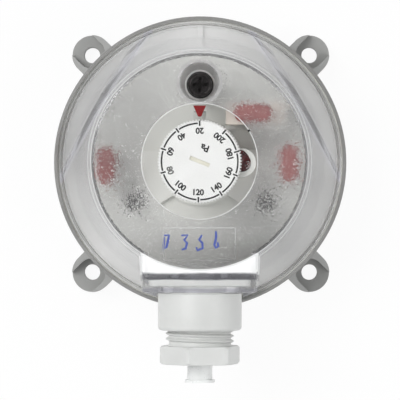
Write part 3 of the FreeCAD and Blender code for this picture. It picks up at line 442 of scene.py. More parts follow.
wedge_t = 1.25
wedge_tip_y = 13.4
wedge_tip_half = 0.74
wedge_end_y = 15.9
wedge_end_half = 1.84
wedge_low_z = in_mm("pointer")[1][2] - wedge_t
foil_edge = 0.04
pointer_red, tree, shader, place = start_material("pointer_red")
foil = noise_of(tree, place, 1.5, 4.0)
skin = noise_of(tree, place, 0.5, 2.0)
axes = axes_of(tree, place)
stamped = value_over(tree, axes["Z"], wedge_low_z, foil_edge)
wedge_half = value_over(
    tree, axes["Y"], wedge_tip_y, wedge_end_y - wedge_tip_y,
    wedge_tip_half * MM, wedge_end_half * MM,
)
in_wedge = tree_math(tree, "LESS_THAN", tree_math(tree, "ABSOLUTE", axes["X"]), wedge_half)
foiled = together(tree, in_wedge, stamped)
red_foil = shade_between(tree, foil, (0.21, 0.004, 0.006), (0.27, 0.007, 0.009))
pointer_colour = laid_over(tree, foiled, (0.6, 0.6, 0.575, 1.0), red_foil)
tree.links.new(pointer_colour, shader.inputs["Base Color"])
shader.inputs["Specular IOR Level"].default_value = 0.2
tree.links.new(value_between(tree, skin, 0.26, 0.4), shader.inputs["Roughness"])
relief(tree, shader, skin, 0.003, 0.12)
finish_nodes(pointer_red, "pointer")


# Dial: a white acetal knob with 84 small teeth, pushed on the spindle's flat. The screwdriver
# slot in its face is a shade creamier than the rest, because the gate of the mould is there.
dial_top_z = in_mm("dial")[1][2]
slot_reach = 3.3
slot_depth = 0.5
slot_wall = 0.2
dial_white, tree, shader, place = start_material("dial_white")
clouds = noise_of(tree, place, 6.0, 4.0)
skin = noise_of(tree, place, 0.5, 3.0)
face_colour = shade_between(tree, clouds, (0.86, 0.855, 0.84), (0.91, 0.905, 0.895))
height = axes_of(tree, place)["Z"]
below_face = value_over(tree, height, dial_top_z - slot_depth, slot_wall, 1.0, 0.0)
near_axis = value_over(tree, distance_from_axis(tree, place), slot_reach, 0.1, 1.0, 0.0)
in_slot = together(tree, below_face, near_axis)
dial_colour = laid_over(tree, in_slot, face_colour, (0.78, 0.76, 0.66, 1.0))
tree.links.new(dial_colour, shader.inputs["Base Color"])
tree.links.new(value_between(tree, skin, 0.28, 0.42), shader.inputs["Roughness"])
relief(tree, shader, skin, 0.004, 0.15)
finish_nodes(dial_white, "dial")


# Scale on the dial: pad-printed in black, ten marks across a broken circle and the numbers
# 20 to 200 with their tops to the centre. The 80 has printed thin and looks grey.
def start_tree(name, inputs):
    """A Geometry Nodes tree with those inputs, its input and its output node."""
    tree = bpy.data.node_groups.new(name, "GeometryNodeTree")
    for label, kind in inputs:
        tree.interface.new_socket(label, in_out="INPUT", socket_type=kind)
    tree.interface.new_socket("Geometry", in_out="OUTPUT", socket_type="NodeSocketGeometry")
    return tree, tree.nodes.new("NodeGroupInput"), tree.nodes.new("NodeGroupOutput")


def link_chain(tree, pairs):
    for start, end in pairs:
        tree.links.new(start, end)


def grown_piece(name, tree, values, material):
    """The plain mesh that a tree grows from those input values, in metres."""
    seed = bpy.data.objects.new(name + "_seed", bpy.data.meshes.new(name + "_seed"))
    bpy.context.scene.collection.objects.link(seed)
    grower = seed.modifiers.new(name, "NODES")
    grower.node_group = tree
    for item in tree.interface.items_tree:
        if item.in_out == "INPUT" and item.name in values:
            grower[item.identifier] = values[item.name]
        if item.in_out == "INPUT" and item.socket_type == "NodeSocketMaterial":
            grower[item.identifier] = material
    shown = seed.evaluated_get(bpy.context.evaluated_depsgraph_get())
    mesh = bpy.data.meshes.new_from_object(shown)
    mesh.name = name
    bpy.data.objects.remove(seed)
    piece = bpy.data.objects.new(name, mesh)
    bpy.context.scene.collection.objects.link(piece)
    return piece


scale_tree, scale_in, scale_out = start_tree("dial_scale", (
    ("Marks", "NodeSocketInt"), ("Pitch", "NodeSocketFloat"),
    ("Circle Radius", "NodeSocketFloat"), ("Mark Length", "NodeSocketFloat"),
    ("Line Width", "NodeSocketFloat"), ("Ink Height", "NodeSocketFloat"),
    ("Gap", "NodeSocketFloat"), ("Height", "NodeSocketFloat"), ("Ink", "NodeSocketMaterial"),
))
nodes = scale_tree.nodes
wanted = scale_in.outputs
index = nodes.new("GeometryNodeInputIndex").outputs["Index"]
mark_turn = tree_math(scale_tree, "MULTIPLY", index, wanted["Pitch"])
mark_rotation = nodes.new("ShaderNodeCombineXYZ")
bar_size = nodes.new("ShaderNodeCombineXYZ")
bar = nodes.new("GeometryNodeMeshCube")
bar_place = nodes.new("ShaderNodeCombineXYZ")
bar_moved = nodes.new("GeometryNodeTransform")
mark_points = nodes.new("GeometryNodePoints")
marks = nodes.new("GeometryNodeInstanceOnPoints")
link_chain(scale_tree, (
    (mark_turn, mark_rotation.inputs["Z"]),
    (wanted["Line Width"], bar_size.inputs["X"]),
    (wanted["Mark Length"], bar_size.inputs["Y"]),
    (wanted["Ink Height"], bar_size.inputs["Z"]),
    (bar_size.outputs["Vector"], bar.inputs["Size"]),
    (wanted["Circle Radius"], bar_place.inputs["Y"]),
    (wanted["Height"], bar_place.inputs["Z"]),
    (bar.outputs["Mesh"], bar_moved.inputs["Geometry"]),
    (bar_place.outputs["Vector"], bar_moved.inputs["Translation"]),
    (wanted["Marks"], mark_points.inputs["Count"]),
    (mark_points.outputs["Points"], marks.inputs["Points"]),
    (bar_moved.outputs["Geometry"], marks.inputs["Instance"]),
    (mark_rotation.outputs["Vector"], marks.inputs["Rotation"]),
))
gap_turn = tree_math(scale_tree, "DIVIDE", wanted["Gap"], wanted["Circle Radius"])
arc_start = tree_math(scale_tree, "ADD", gap_turn, math.pi / 2)
both_gaps = tree_math(scale_tree, "MULTIPLY", gap_turn, 2.0)
arc_sweep = tree_math(scale_tree, "SUBTRACT", wanted["Pitch"], both_gaps)
arc = nodes.new("GeometryNodeCurveArc")
arc.mode = "RADIUS"
arc.inputs["Resolution"].default_value = 24
section = nodes.new("GeometryNodeCurvePrimitiveQuadrilateral")
swept = nodes.new("GeometryNodeCurveToMesh")
swept.inputs["Fill Caps"].default_value = True
arc_place = nodes.new("ShaderNodeCombineXYZ")
arc_moved = nodes.new("GeometryNodeTransform")
arc_points = nodes.new("GeometryNodePoints")
arcs = nodes.new("GeometryNodeInstanceOnPoints")
joined = nodes.new("GeometryNodeJoinGeometry")
made_real = nodes.new("GeometryNodeRealizeInstances")
inked = nodes.new("GeometryNodeSetMaterial")
link_chain(scale_tree, (
    (wanted["Circle Radius"], arc.inputs["Radius"]),
    (arc_start, arc.inputs["Start Angle"]),
    (arc_sweep, arc.inputs["Sweep Angle"]),
    (wanted["Line Width"], section.inputs["Width"]),
    (wanted["Ink Height"], section.inputs["Height"]),
    (arc.outputs["Curve"], swept.inputs["Curve"]),
    (section.outputs["Curve"], swept.inputs["Profile Curve"]),
    (wanted["Height"], arc_place.inputs["Z"]),
    (swept.outputs["Mesh"], arc_moved.inputs["Geometry"]),
    (arc_place.outputs["Vector"], arc_moved.inputs["Translation"]),
    (tree_math(scale_tree, "SUBTRACT", wanted["Marks"], 1), arc_points.inputs["Count"]),
    (arc_points.outputs["Points"], arcs.inputs["Points"]),
    (arc_moved.outputs["Geometry"], arcs.inputs["Instance"]),
    (mark_rotation.outputs["Vector"], arcs.inputs["Rotation"]),
    (marks.outputs["Instances"], joined.inputs["Geometry"]),
    (arcs.outputs["Instances"], joined.inputs["Geometry"]),
    (joined.outputs["Geometry"], made_real.inputs["Geometry"]),
    (made_real.outputs["Geometry"], inked.inputs["Geometry"]),
    (wanted["Ink"], inked.inputs["Material"]),
    (inked.outputs["Geometry"], scale_out.inputs["Geometry"]),
))


def printed_ink(name, thin, full):
    """Printing ink that has gone on a little unevenly."""
    material, tree, shader, place = start_material(name)
    patches = noise_of(tree, place, 0.35, 3.0)
    tree.links.new(shade_between(tree, patches, thin, full, 0.3, 0.5), shader.inputs["Base Color"])
    tree.links.new(value_between(tree, patches, 0.35, 0.55), shader.inputs["Roughness"])
    return material


scale_marks = 10
scale_pitch = math.radians(35.6)
scale_r = 10.84
ink_z = dial_top_z + 0.02
black_ink = printed_ink("black_ink", (0.03, 0.03, 0.03), (0.008, 0.008, 0.008))
grey_ink = printed_ink("grey_ink", (0.3, 0.3, 0.29), (0.14, 0.14, 0.135))
scale_lines = grown_piece("dial_scale_lines", scale_tree, {
    "Marks": scale_marks, "Pitch": scale_pitch, "Circle Radius": scale_r * MM,
    "Mark Length": 1.5 * MM, "Line Width": 0.46 * MM, "Ink Height": 0.04 * MM,
    "Gap": 0.52 * MM, "Height": ink_z * MM,
}, black_ink)
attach(scale_lines, "dial")


def flat_words(name, words, height, middle_x, middle_y, turn, material):
    """Printed words as a thin mesh, centred on a point of the dial's face."""
    capital_share = 0.69
    curve = bpy.data.curves.new(name, "FONT")
    curve.body = words
    curve.size = height / capital_share * MM
    curve.align_x = "CENTER"
    curve.align_y = "CENTER"
    curve.bevel_depth = 0.09 * MM
    curve.bevel_resolution = 0
    curve.extrude = 0.01 * MM
    curve.space_character = 0.97
    written = bpy.data.objects.new(name, curve)
    bpy.context.scene.collection.objects.link(written)
    shown = written.evaluated_get(bpy.context.evaluated_depsgraph_get())
    mesh = bpy.data.meshes.new_from_object(shown)
    bpy.data.objects.remove(written)
    across = [corner.co.x for corner in mesh.vertices]
    along = [corner.co.y for corner in mesh.vertices]
    middle_of_words = ((min(across) + max(across)) / 2, (min(along) + max(along)) / 2, 0.0)
    centring = Matrix.Translation([-value for value in middle_of_words])
    flat = Matrix.Diagonal((1.0, 1.0, 0.25, 1.0))
    turning = Matrix.Rotation(turn, 4, "Z")
    placing = Matrix.Translation((middle_x * MM, middle_y * MM, ink_z * MM))
    mesh.transform(placing @ turning @ flat @ centring)
    mesh.materials.clear()
    mesh.materials.append(material)
    piece = bpy.data.objects.new(name, mesh)
    bpy.context.scene.collection.objects.link(piece)
    return piece


number_r = 8.72
number_h = 1.6
number_step = 20
thin_number = 80
unit_h = 1.12 * number_h
unit_x, unit_y = 1.41, 3.84
unit_turn = math.radians(160)
for step in range(scale_marks):
    number = number_step * (step + 1)
    turn = scale_pitch * step
    ink = grey_ink if number == thin_number else black_ink
    piece = flat_words(
        "dial_number_%d" % number, str(number), number_h,
        -number_r * math.sin(turn), number_r * math.cos(turn), turn + math.pi, ink,
    )
    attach(piece, "dial")
unit_mark = flat_words("dial_unit", "Pa", unit_h, unit_x, unit_y, unit_turn, black_ink)
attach(unit_mark, "dial")


# Cable gland: an off-white polyamide moulding whose plate drops into a slot of the deck. Its
# rubber bush, steel washer and stopper are pushed in from outside.
gland_white = moulded_plastic(
    "gland_white", (0.605, 0.61, 0.595), (0.675, 0.68, 0.665), 0.38, 0.5, 0.01,
    cloud_mm=12.0, edge_mm=0.3,
)
black_rubber = rubber("black_rubber", (0.02, 0.02, 0.02), (0.045, 0.045, 0.043), 0.6, 4.0)
finish_nodes(gland_white, "gland_body")
bush_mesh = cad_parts["gland_seal"].data.copy()
bush_mesh.name = "gland_bush"
work = bmesh.new()
work.from_mesh(bush_mesh)
bmesh.ops.remove_doubles(work, verts=work.verts, dist=0.001 * MM)
work.to_mesh(bush_mesh)
work.free()
bush_mesh.materials[0] = black_rubber
bush_mesh.shade_smooth()
bush_mesh.set_sharp_from_angle(angle=math.radians(35.0))
gland_bush = bpy.data.objects.new("gland_bush", bush_mesh)
bpy.context.scene.collection.objects.link(gland_bush)
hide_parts("gland_seal")
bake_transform(gland_bush)
finish_nodes(zinc_steel, "gland_washer")


# Gland screw: a hollow hexagon screw of the same plastic with a moulded M20 thread. The
# thread starts and ends flat, and the hexagon's corners are turned off at both faces.
screw_low, screw_high = in_mm("gland_screw")
gland_z = middle("gland_washer")[2]
screw_bore_r = 5.2
hex_thick = 5.2
hex_half_flats = 10.25
hex_corner_r = hex_half_flats / math.cos(math.pi / 6)
hex_turn = math.radians(-16.1)
hex_bevel = 0.8
hex_bevel_h = 0.5
hex_face_r = hex_corner_r - hex_bevel
thread_root_r = 8.85
thread_crest_r = 9.77
thread_pitch = 1.5
neck_chamfer = 0.5
root_flare = 0.3
root_flare_h = 0.6
mouth_chamfer = 0.4
screw_around = 144
hex_far_y = screw_low[1]
hex_near_y = hex_far_y + hex_thick
neck_end_y = screw_high[1]


def gland_ring(y, limit, in_hexagon=False):
    """Points round the gland's axis at that radius, or on the hexagon cut off at it."""
    ring = []
    for step in range(screw_around):
        turn = 2 * math.pi * step / screw_around
        off_corner = (turn - hex_turn) % (math.pi / 3) - math.pi / 6
        radius = min(limit, hex_half_flats / math.cos(off_corner)) if in_hexagon else limit
        ring.append((radius * math.sin(turn), y, gland_z + radius * math.cos(turn)))
    return ring


screw_rings = [
    gland_ring(neck_end_y, screw_bore_r),
    gland_ring(neck_end_y, thread_root_r - neck_chamfer),
    gland_ring(neck_end_y - neck_chamfer, thread_root_r),
    gland_ring(hex_near_y + root_flare_h, thread_root_r),
    gland_ring(hex_near_y, thread_root_r + root_flare),
    gland_ring(hex_near_y, hex_face_r, in_hexagon=True),
    gland_ring(hex_near_y - hex_bevel_h, hex_corner_r, in_hexagon=True),
    gland_ring(hex_far_y + hex_bevel_h, hex_corner_r, in_hexagon=True),
    gland_ring(hex_far_y, hex_face_r, in_hexagon=True),
    gland_ring(hex_far_y, screw_bore_r + mouth_chamfer),
    gland_ring(hex_far_y + mouth_chamfer, screw_bore_r),
]
screw_points = [point for ring in screw_rings for point in ring]
screw_faces = ring_faces(len(screw_rings), screw_around, True)
gland_screw = mesh_piece("gland_screw_body", screw_points, screw_faces, 32.0)
gland_screw.data.materials.append(gland_white)

thread_tree, thread_in, thread_out = start_tree("moulded_thread", (
    ("Turns", "NodeSocketFloat"), ("Pitch", "NodeSocketFloat"), ("Root Radius", "NodeSocketFloat"),
    ("Depth", "NodeSocketFloat"), ("Start", "NodeSocketVector"), ("Plastic", "NodeSocketMaterial"),
))
nodes = thread_tree.nodes
wanted = thread_in.outputs
helix = nodes.new("GeometryNodeCurveSpiral")
helix.inputs["Resolution"].default_value = 72
ridge = nodes.new("GeometryNodeCurvePrimitiveQuadrilateral")
ridge.mode = "TRAPEZOID"
ridge.inputs["Offset"].default_value = 0.0
ridge_turned = nodes.new("GeometryNodeTransform")
ridge_turned.inputs["Rotation"].default_value = (0.0, 0.0, math.pi / 2)
level = nodes.new("GeometryNodeSetCurveNormal")
level.mode = "Z_UP"
swept = nodes.new("GeometryNodeCurveToMesh")
swept.inputs["Fill Caps"].default_value = True
upright = nodes.new("GeometryNodeTransform")
upright.inputs["Rotation"].default_value = (math.pi / 2, 0.0, 0.0)
smooth = nodes.new("GeometryNodeSetShadeSmooth")
smooth.inputs["Shade Smooth"].default_value = False
coloured = nodes.new("GeometryNodeSetMaterial")
made_real = nodes.new("GeometryNodeRealizeInstances")
sunk_ridge = 0.42
ridge_foot = 0.92
ridge_crest = 0.16
ridge_depth = 1.16
past_root = tree_math(thread_tree, "MULTIPLY", wanted["Depth"], sunk_ridge)
middle_r = tree_math(thread_tree, "ADD", wanted["Root Radius"], past_root)
thread_length = tree_math(thread_tree, "MULTIPLY", wanted["Turns"], wanted["Pitch"])
foot_width = tree_math(thread_tree, "MULTIPLY", wanted["Pitch"], ridge_foot)
crest_width = tree_math(thread_tree, "MULTIPLY", wanted["Pitch"], ridge_crest)
ridge_height = tree_math(thread_tree, "MULTIPLY", wanted["Depth"], ridge_depth)
link_chain(thread_tree, (
    (wanted["Turns"], helix.inputs["Rotations"]),
    (middle_r, helix.inputs["Start Radius"]),
    (middle_r, helix.inputs["End Radius"]),
    (thread_length, helix.inputs["Height"]),
    (foot_width, ridge.inputs["Bottom Width"]),
    (crest_width, ridge.inputs["Top Width"]),
    (ridge_height, ridge.inputs["Height"]),
    (helix.outputs["Curve"], level.inputs["Curve"]),
    (level.outputs["Curve"], swept.inputs["Curve"]),
    (ridge.outputs["Curve"], ridge_turned.inputs["Geometry"]),
    (ridge_turned.outputs["Geometry"], swept.inputs["Profile Curve"]),
    (swept.outputs["Mesh"], upright.inputs["Geometry"]),
    (wanted["Start"], upright.inputs["Translation"]),
    (upright.outputs["Geometry"], smooth.inputs["Geometry"]),
    (smooth.outputs["Geometry"], made_real.inputs["Geometry"]),
    (made_real.outputs["Geometry"], coloured.inputs["Geometry"]),
    (wanted["Plastic"], coloured.inputs["Material"]),
    (coloured.outputs["Geometry"], thread_out.inputs["Geometry"]),
))
thread_turns = 5.4
gland_thread = grown_piece("gland_screw_thread", thread_tree, {
    "Turns": thread_turns, "Pitch": thread_pitch * MM, "Root Radius": thread_root_r * MM,
    "Depth": (thread_crest_r - thread_root_r) * MM,
    "Start": (0.0, (neck_end_y - neck_chamfer) * MM, gland_z * MM),
}, gland_white)
for piece in (gland_screw, gland_thread):
    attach(piece, "gland_screw")
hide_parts("gland_screw")


# Stopper: a thin-walled cup of natural polyethylene through the bush, with a flange to pull
# it out by before the cable goes in.
natural_pe, tree, shader, place = start_material("natural_pe")
haze = noise_of(tree, place, 2.5, 4.0)
skin = noise_of(tree, place, 0.5, 2.0)
milky_white = shade_between(tree, haze, (0.86, 0.87, 0.86), (0.93, 0.94, 0.93))
tree.links.new(milky_white, shader.inputs["Base Color"])
tree.links.new(value_between(tree, skin, 0.26, 0.38), shader.inputs["Roughness"])
shader.inputs["Transmission Weight"].default_value = 0.12
shader.inputs["IOR"].default_value = 1.5
relief(tree, shader, skin, 0.01)
finish_nodes(natural_pe, "dust_plug")


# Cover: one clear polystyrene moulding over the wiring chamber. Its top is spark-frosted but
# for a polished round window, and its screw well, two inner ribs and the box over the gland
# belong to it. A white rubber ring seals its flange, and a bead runs round the window.
def band_over(tree, value, start_mm, rise_mm, end_mm, fall_mm):
    """One between those two places, rising just after the start and falling just after the end."""
    rise = value_over(tree, value, start_mm, rise_mm)
    return together(tree, rise, value_over(tree, value, end_mm, fall_mm, 1.0, 0.0))


def plus_share(tree, value, share, added):
    """The value and that share of what is added."""
    return tree_math(tree, "MULTIPLY_ADD", added, share, value)


def tones_of(tree, factor, blue, tones):
    """A run of greys; each tone is a position and a brightness, with that share of blue."""
    stops = [(at, tone, tone, tone * blue, 1.0) for at, tone in tones]
    return ramp_of(tree, factor, stops)["Color"]


finish_nodes(white_rubber, "cover_gasket")
well_below_top = 1.9
flank_above_rim = 2.0
cover_top_z = in_mm("cover_well")[1][2] + well_below_top
flank_low_z = in_mm("switch_housing")[1][2] + flank_above_rim
top_skin_z = cover_top_z - 0.9
frame_face_z = cover_top_z + 0.02
window_r = 16.3
frost_end_r = 30.3
disc_edge_r = 30.5
cover_clear, tree, shader, place = start_material("cover_clear")
axes = axes_of(tree, place)
radius = distance_from_axis(tree, place)
past_window = value_over(tree, radius, window_r, 0.08)
on_top = value_over(tree, axes["Z"], top_skin_z, 0.4)
on_frame = value_over(tree, axes["Z"], frame_face_z, 0.08)
on_flank = value_over(tree, axes["Z"], flank_low_z, 0.5)
in_disc = value_over(tree, radius, frost_end_r, 0.2, 1.0, 0.0)
frosted = together(tree, past_window, on_top, in_disc)
satin = together(tree, past_window, on_flank)

# The frosting is many small facets, each tilted its own way, over a slow ripple of the skin.
grain_mm = 0.23
facet_spread = 0.7
grains = add_node(tree, "TexVoronoi", {"Scale": 1.0 / (grain_mm * MM)})
grain_shade = linked(tree, grains, (place,))["Color"]
facet_tilt = tree_vector(
    tree, "MULTIPLY_ADD", grain_shade, (facet_spread, facet_spread, 0.0),
    (-facet_spread / 2, -facet_spread / 2, 0.0),
)
steepness = linked(tree, add_node(tree, "SeparateColor"), (grain_shade,))["Blue"]
only_frosted = tree_vector(tree, "MULTIPLY", facet_tilt, together(tree, steepness, frosted))
rippled = relief(tree, shader, noise_of(tree, place, 9.0, 2.0), 0.015)
faceted = tree_vector(tree, "NORMALIZE", tree_vector(tree, "ADD", rippled, only_frosted))
tree.links.new(faceted, shader.inputs["Normal"])
satin_gloss = plus_share(tree, value_between(tree, frosted, 0.03, 0.08, 0.0, 1.0), 0.1, satin)
tree.links.new(satin_gloss, shader.inputs["Roughness"])

# Round the disc runs a painted highlight, a bright line on a grey, less clear band; the flank and
# the disc have tones of painted light and shade.
edge_highlight_end_r = 30.72
edge_band_end_r = 30.9
disc_low_y, disc_high_y = -31.0, 30.0
left_x, right_x = -25.0, 20.0
# Painted highlight on the disc's rounded edge: a bright line over a grey, less clear band.
edge_painted_highlight = band_over(tree, radius, disc_edge_r, 0.06, edge_highlight_end_r, 0.06)
edge_painted_highlight = together(tree, edge_painted_highlight, on_flank)
edge_painted_band = band_over(tree, radius, frost_end_r, 0.2, edge_band_end_r, 0.4)
edge_painted_band = together(tree, edge_painted_band, on_flank)
clear_share = value_between(tree, frosted, 0.995, 0.97, 0.0, 1.0)
for share, mask in ((-0.05, satin), (-0.3, on_frame), (-0.55, edge_painted_band)):
    clear_share = plus_share(tree, clear_share, share, mask)
# Painted light and shade: the flank is lighter or darker by its angle round the axis, as lamps
# would light it.
around = tree_math(tree, "ARCTAN2", axes["Y"], axes["X"])
flank_painted_shade = tones_of(tree, value_between(tree, around, 0.0, 1.0, -math.pi, math.pi), 1.02, (
    (0.0, 0.48), (0.12, 0.82), (0.25, 0.78), (0.375, 0.45), (0.5, 0.62), (0.625, 0.52),
    (0.75, 0.83), (0.875, 0.54), (1.0, 0.48),
))
# Painted shade: the disc darkens sharply towards its bottom edge by the gland's box, and somewhat
# towards the left.
up_disc = value_over(tree, axes["Y"], disc_low_y, disc_high_y - disc_low_y)
disc_painted_shade = tones_of(tree, up_disc, 0.99, (
    (0.0, 0.08), (0.1, 0.24), (0.167, 0.54), (0.3, 0.93), (1.0, 0.96),
))
left_painted_shade = value_over(tree, axes["X"], left_x, right_x - left_x, 0.6, 0.0)
disc_painted_shade = laid_over(tree, left_painted_shade, disc_painted_shade, (0.70, 0.70, 0.69, 1.0))
chord_off = 31.2
chord_t = 1.6
chord_turn = math.radians(31.0)
off_middle = tree_math(tree, "ABSOLUTE", axes["X"])
along_x = tree_math(tree, "MULTIPLY", off_middle, math.cos(chord_turn))
to_chord = tree_math(tree, "MULTIPLY_ADD", axes["Y"], math.sin(chord_turn), along_x)
on_rib = band_over(tree, to_chord, chord_off, 0.3, chord_off + chord_t, 0.6)
# Painted shade: a bluish grey line where each inner rib shows through the flank.
flank_painted_shade = laid_over(tree, on_rib, flank_painted_shade, (0.66, 0.66, 0.74, 1.0))
frosted_tint = laid_over(tree, frosted, flank_painted_shade, disc_painted_shade)
glass_tint = laid_over(tree, past_window, (0.985, 0.99, 0.985, 1.0), frosted_tint)
glass_tint = laid_over(tree, edge_painted_band, glass_tint, (0.52, 0.52, 0.52, 1.0))
glass_tint = laid_over(tree, edge_painted_highlight, glass_tint, (0.97, 0.97, 0.965, 1.0))

# The box over the gland has wavy bands of painted light and shade across it, light, dark and clear.
box_from_r = 30.4
box_half_w = 16.6
box_near_y = -26.0
box_far_y = -37.3
box_wave = 0.9
in_box = together(
    tree, value_over(tree, radius, box_from_r, 0.1),
    value_over(tree, axes["Y"], box_near_y, 0.1, 1.0, 0.0),
    value_over(tree, off_middle, box_half_w, 0.1, 1.0, 0.0),
)
waves = noise_of(tree, place, 2.2, 3.0, (3.0, 1.0, 1.0))
wavy_y = plus_share(tree, axes["Y"], box_wave * MM, waves)
# Painted light and shade: these bands stand in for what the box's thick clear walls refract and
# mirror.
box_painted_bands = ramp_of(tree, value_over(tree, wavy_y, box_far_y, box_near_y - box_far_y), (
    (0.0, 0.5, 0.5, 0.53, 0.75), (0.14, 0.5, 0.5, 0.54, 0.7), (0.2, 0.9, 0.9, 0.9, 0.9),
    (0.36, 0.9, 0.9, 0.9, 0.9), (0.4, 0.22, 0.22, 0.24, 0.75), (0.52, 0.3, 0.3, 0.32, 0.7),
    (0.57, 0.98, 0.98, 0.98, 0.25), (1.0, 0.98, 0.98, 0.98, 0.15),
))
cover_tint = laid_over(tree, in_box, glass_tint, box_painted_bands["Color"])
tree.links.new(cover_tint, shader.inputs["Base Color"])
clearness = laid_over(tree, in_box, clear_share, box_painted_bands["Alpha"])
tree.links.new(clearness, shader.inputs["Transmission Weight"])
polystyrene_ior = 1.49
shader.inputs["IOR"].default_value = polystyrene_ior


def let_light_past(tree, shader, colour):
    """Shadow rays and bounced light go straight through, so what is inside is lit."""
    rays = add_node(tree, "LightPath").outputs
    opening = add_node(tree, "BsdfTransparent", {"Color": (*colour, 1.0)}).outputs["BSDF"]
    passed = shader.outputs["BSDF"]
    for ray in ("Is Diffuse Ray", "Is Shadow Ray"):
        passed = linked(tree, add_node(tree, "MixShader"), (rays[ray], passed, opening))["Shader"]
    tree.links.new(passed, tree.nodes["Material Output"].inputs["Surface"])


let_light_past(tree, shader, (0.97, 0.97, 0.97))
finish_nodes(cover_clear, "cover")

well_satin, tree, shader, place = start_material("well_satin")
drag = noise_of(tree, place, 1.2, 4.0, (1.0, 1.0, 6.0))
well_tint = shade_between(tree, drag, (0.62, 0.61, 0.60), (0.78, 0.77, 0.76))
tree.links.new(well_tint, shader.inputs["Base Color"])
tree.links.new(value_between(tree, drag, 0.3, 0.45), shader.inputs["Roughness"])
shader.inputs["Transmission Weight"].default_value = 0.6
shader.inputs["IOR"].default_value = polystyrene_ior
relief(tree, shader, drag, 0.02)
let_light_past(tree, shader, (0.85, 0.85, 0.85))
finish_nodes(well_satin, "cover_well")

bead_r = window_r + 0.05
bead_half = 0.14
bead_crown = 0.7 * bead_half
bead_root = 0.8 * bead_half
bead_rise = 0.06
bead_sink = 0.1
bead_around = 240
bead_section = (
    (-bead_half, 0.0), (-bead_crown, bead_rise), (bead_crown, bead_rise),
    (bead_half, 0.0), (bead_root, -bead_sink), (-bead_root, -bead_sink),
)
bead_points = []
for off, rise in bead_section:
    for step in range(bead_around):
        turn = 2 * math.pi * step / bead_around
        across = bead_r + off
        bead_points.append((across * math.cos(turn), across * math.sin(turn), cover_top_z + rise))
bead_faces = ring_faces(len(bead_section), bead_around, True)
bead = mesh_piece("window_bead", bead_points, bead_faces)
# A raised bead, but its whitish, half-clear colour is a painted highlight on the window's edge.
bead_painted_highlight, tree, shader, place = start_material("bead_painted_highlight")
scuffs = noise_of(tree, place, 7.0, 3.0)
bead_highlight_tint = shade_between(tree, scuffs, (0.72, 0.72, 0.71), (0.97, 0.97, 0.96))
tree.links.new(bead_highlight_tint, shader.inputs["Base Color"])
tree.links.new(value_between(tree, scuffs, 0.3, 0.5), shader.inputs["Roughness"])
shader.inputs["Transmission Weight"].default_value = 0.35
bead.data.materials.append(bead_painted_highlight)
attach(bead, "cover")


# Pen marks on the cover: four quick strokes of a blue marker and a black speck of ink, drawn
# by hand on the finished switch.
def pen_stroke(name, route, width):
    """A thin ribbon of ink along the listed points of a hand-drawn stroke on the cover's top,
    narrower at its ends.
    """
    points = []
    end_share = 0.75
    ink_t = 0.02
    top = cover_top_z + 0.03
    for place_in, (x, y) in enumerate(route):
        before = Vector(route[max(0, place_in - 1)])
        after = Vector(route[min(len(route) - 1, place_in + 1)])
        along = (after - before).normalized()
        half = width / 2 * (end_share if place_in in (0, len(route) - 1) else 1.0)
        left = (x - along.y * half, y + along.x * half)
        right = (x + along.y * half, y - along.x * half)
        points += [(*left, top), (*right, top), (*right, top - ink_t), (*left, top - ink_t)]
    return mesh_piece(name, points, ring_faces(len(route), 4, False))


blue_ink = printed_ink("blue_ink", (0.10, 0.14, 0.42), (0.05, 0.08, 0.34))
pen_width = 0.66
stroke_routes = (
    ((-10.1, -20.9), (-8.6, -20.8), (-8.9, -22.7), (-9.3, -24.2), (-10.1, -24.8),
     (-10.0, -22.7), (-9.9, -21.4)),
    ((-5.1, -20.9), (-3.3, -20.8), (-4.3, -22.2), (-3.5, -23.0), (-3.9, -24.6), (-5.0, -24.9)),
    ((0.7, -20.8), (-0.1, -22.1), (0.8, -23.0), (0.9, -24.5), (-0.6, -25.1), (-0.9, -24.2)),
    ((4.6, -19.7), (4.7, -21.2), (4.5, -22.4), (4.2, -23.5), (4.6, -24.4), (5.3, -23.9),
     (5.1, -22.8)),
)
for count, route in enumerate(stroke_routes, 1):
    stroke = pen_stroke("pen_stroke_%d" % count, route, pen_width)
    stroke.data.materials.append(blue_ink)
    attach(stroke, "cover")
speck_x, speck_y = 13.85, 8.54
speck_r = 0.36
speck_low_z = cover_top_z + 0.06
speck_around = 24
speck_profile = ((1.0, 0.0), (0.9, 0.06), (0.5, 0.1), (0.05, 0.1))
speck_points = []
for share, rise in speck_profile:
    for step in range(speck_around):
        turn = 2 * math.pi * step / speck_around
        reach = speck_r * share * (1 + 0.12 * math.sin(3 * turn))
        x = speck_x + reach * math.cos(turn)
        y = speck_y + reach * math.sin(turn)
        speck_points.append((x, y, speck_low_z + rise))
speck_faces = ring_faces(len(speck_profile), speck_around, False)
speck = mesh_piece("ink_speck", speck_points, speck_faces)
speck.data.materials.append(black_ink)
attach(speck, "cover")


# Cover screw: a black pan head screw with a cross recess in the well, on a rubber washer.
# It goes into the pillar of the upper housing.
finish_nodes(black_zinc, "cover_screw")
finish_nodes(black_rubber, "cover_screw_washer")


# Studio: the switch lies on a white sheet under a large soft lamp from the upper left, with a
# weaker one from the right and a small low one from the lower left. The room is plain and
# bright, but dim right overhead, where the camera is, for what is mirrored or refracted.
def seen_share(tree):
    """One for rays from the camera, straight, mirrored or refracted, and nothing for the rest."""
    rays = add_node(tree, "LightPath").outputs
    straight_or_mirrored = tree_math(tree, "MAXIMUM", rays["Is Camera Ray"], rays["Is Glossy Ray"])
    return tree_math(tree, "MAXIMUM", straight_or_mirrored, rays["Is Transmission Ray"])


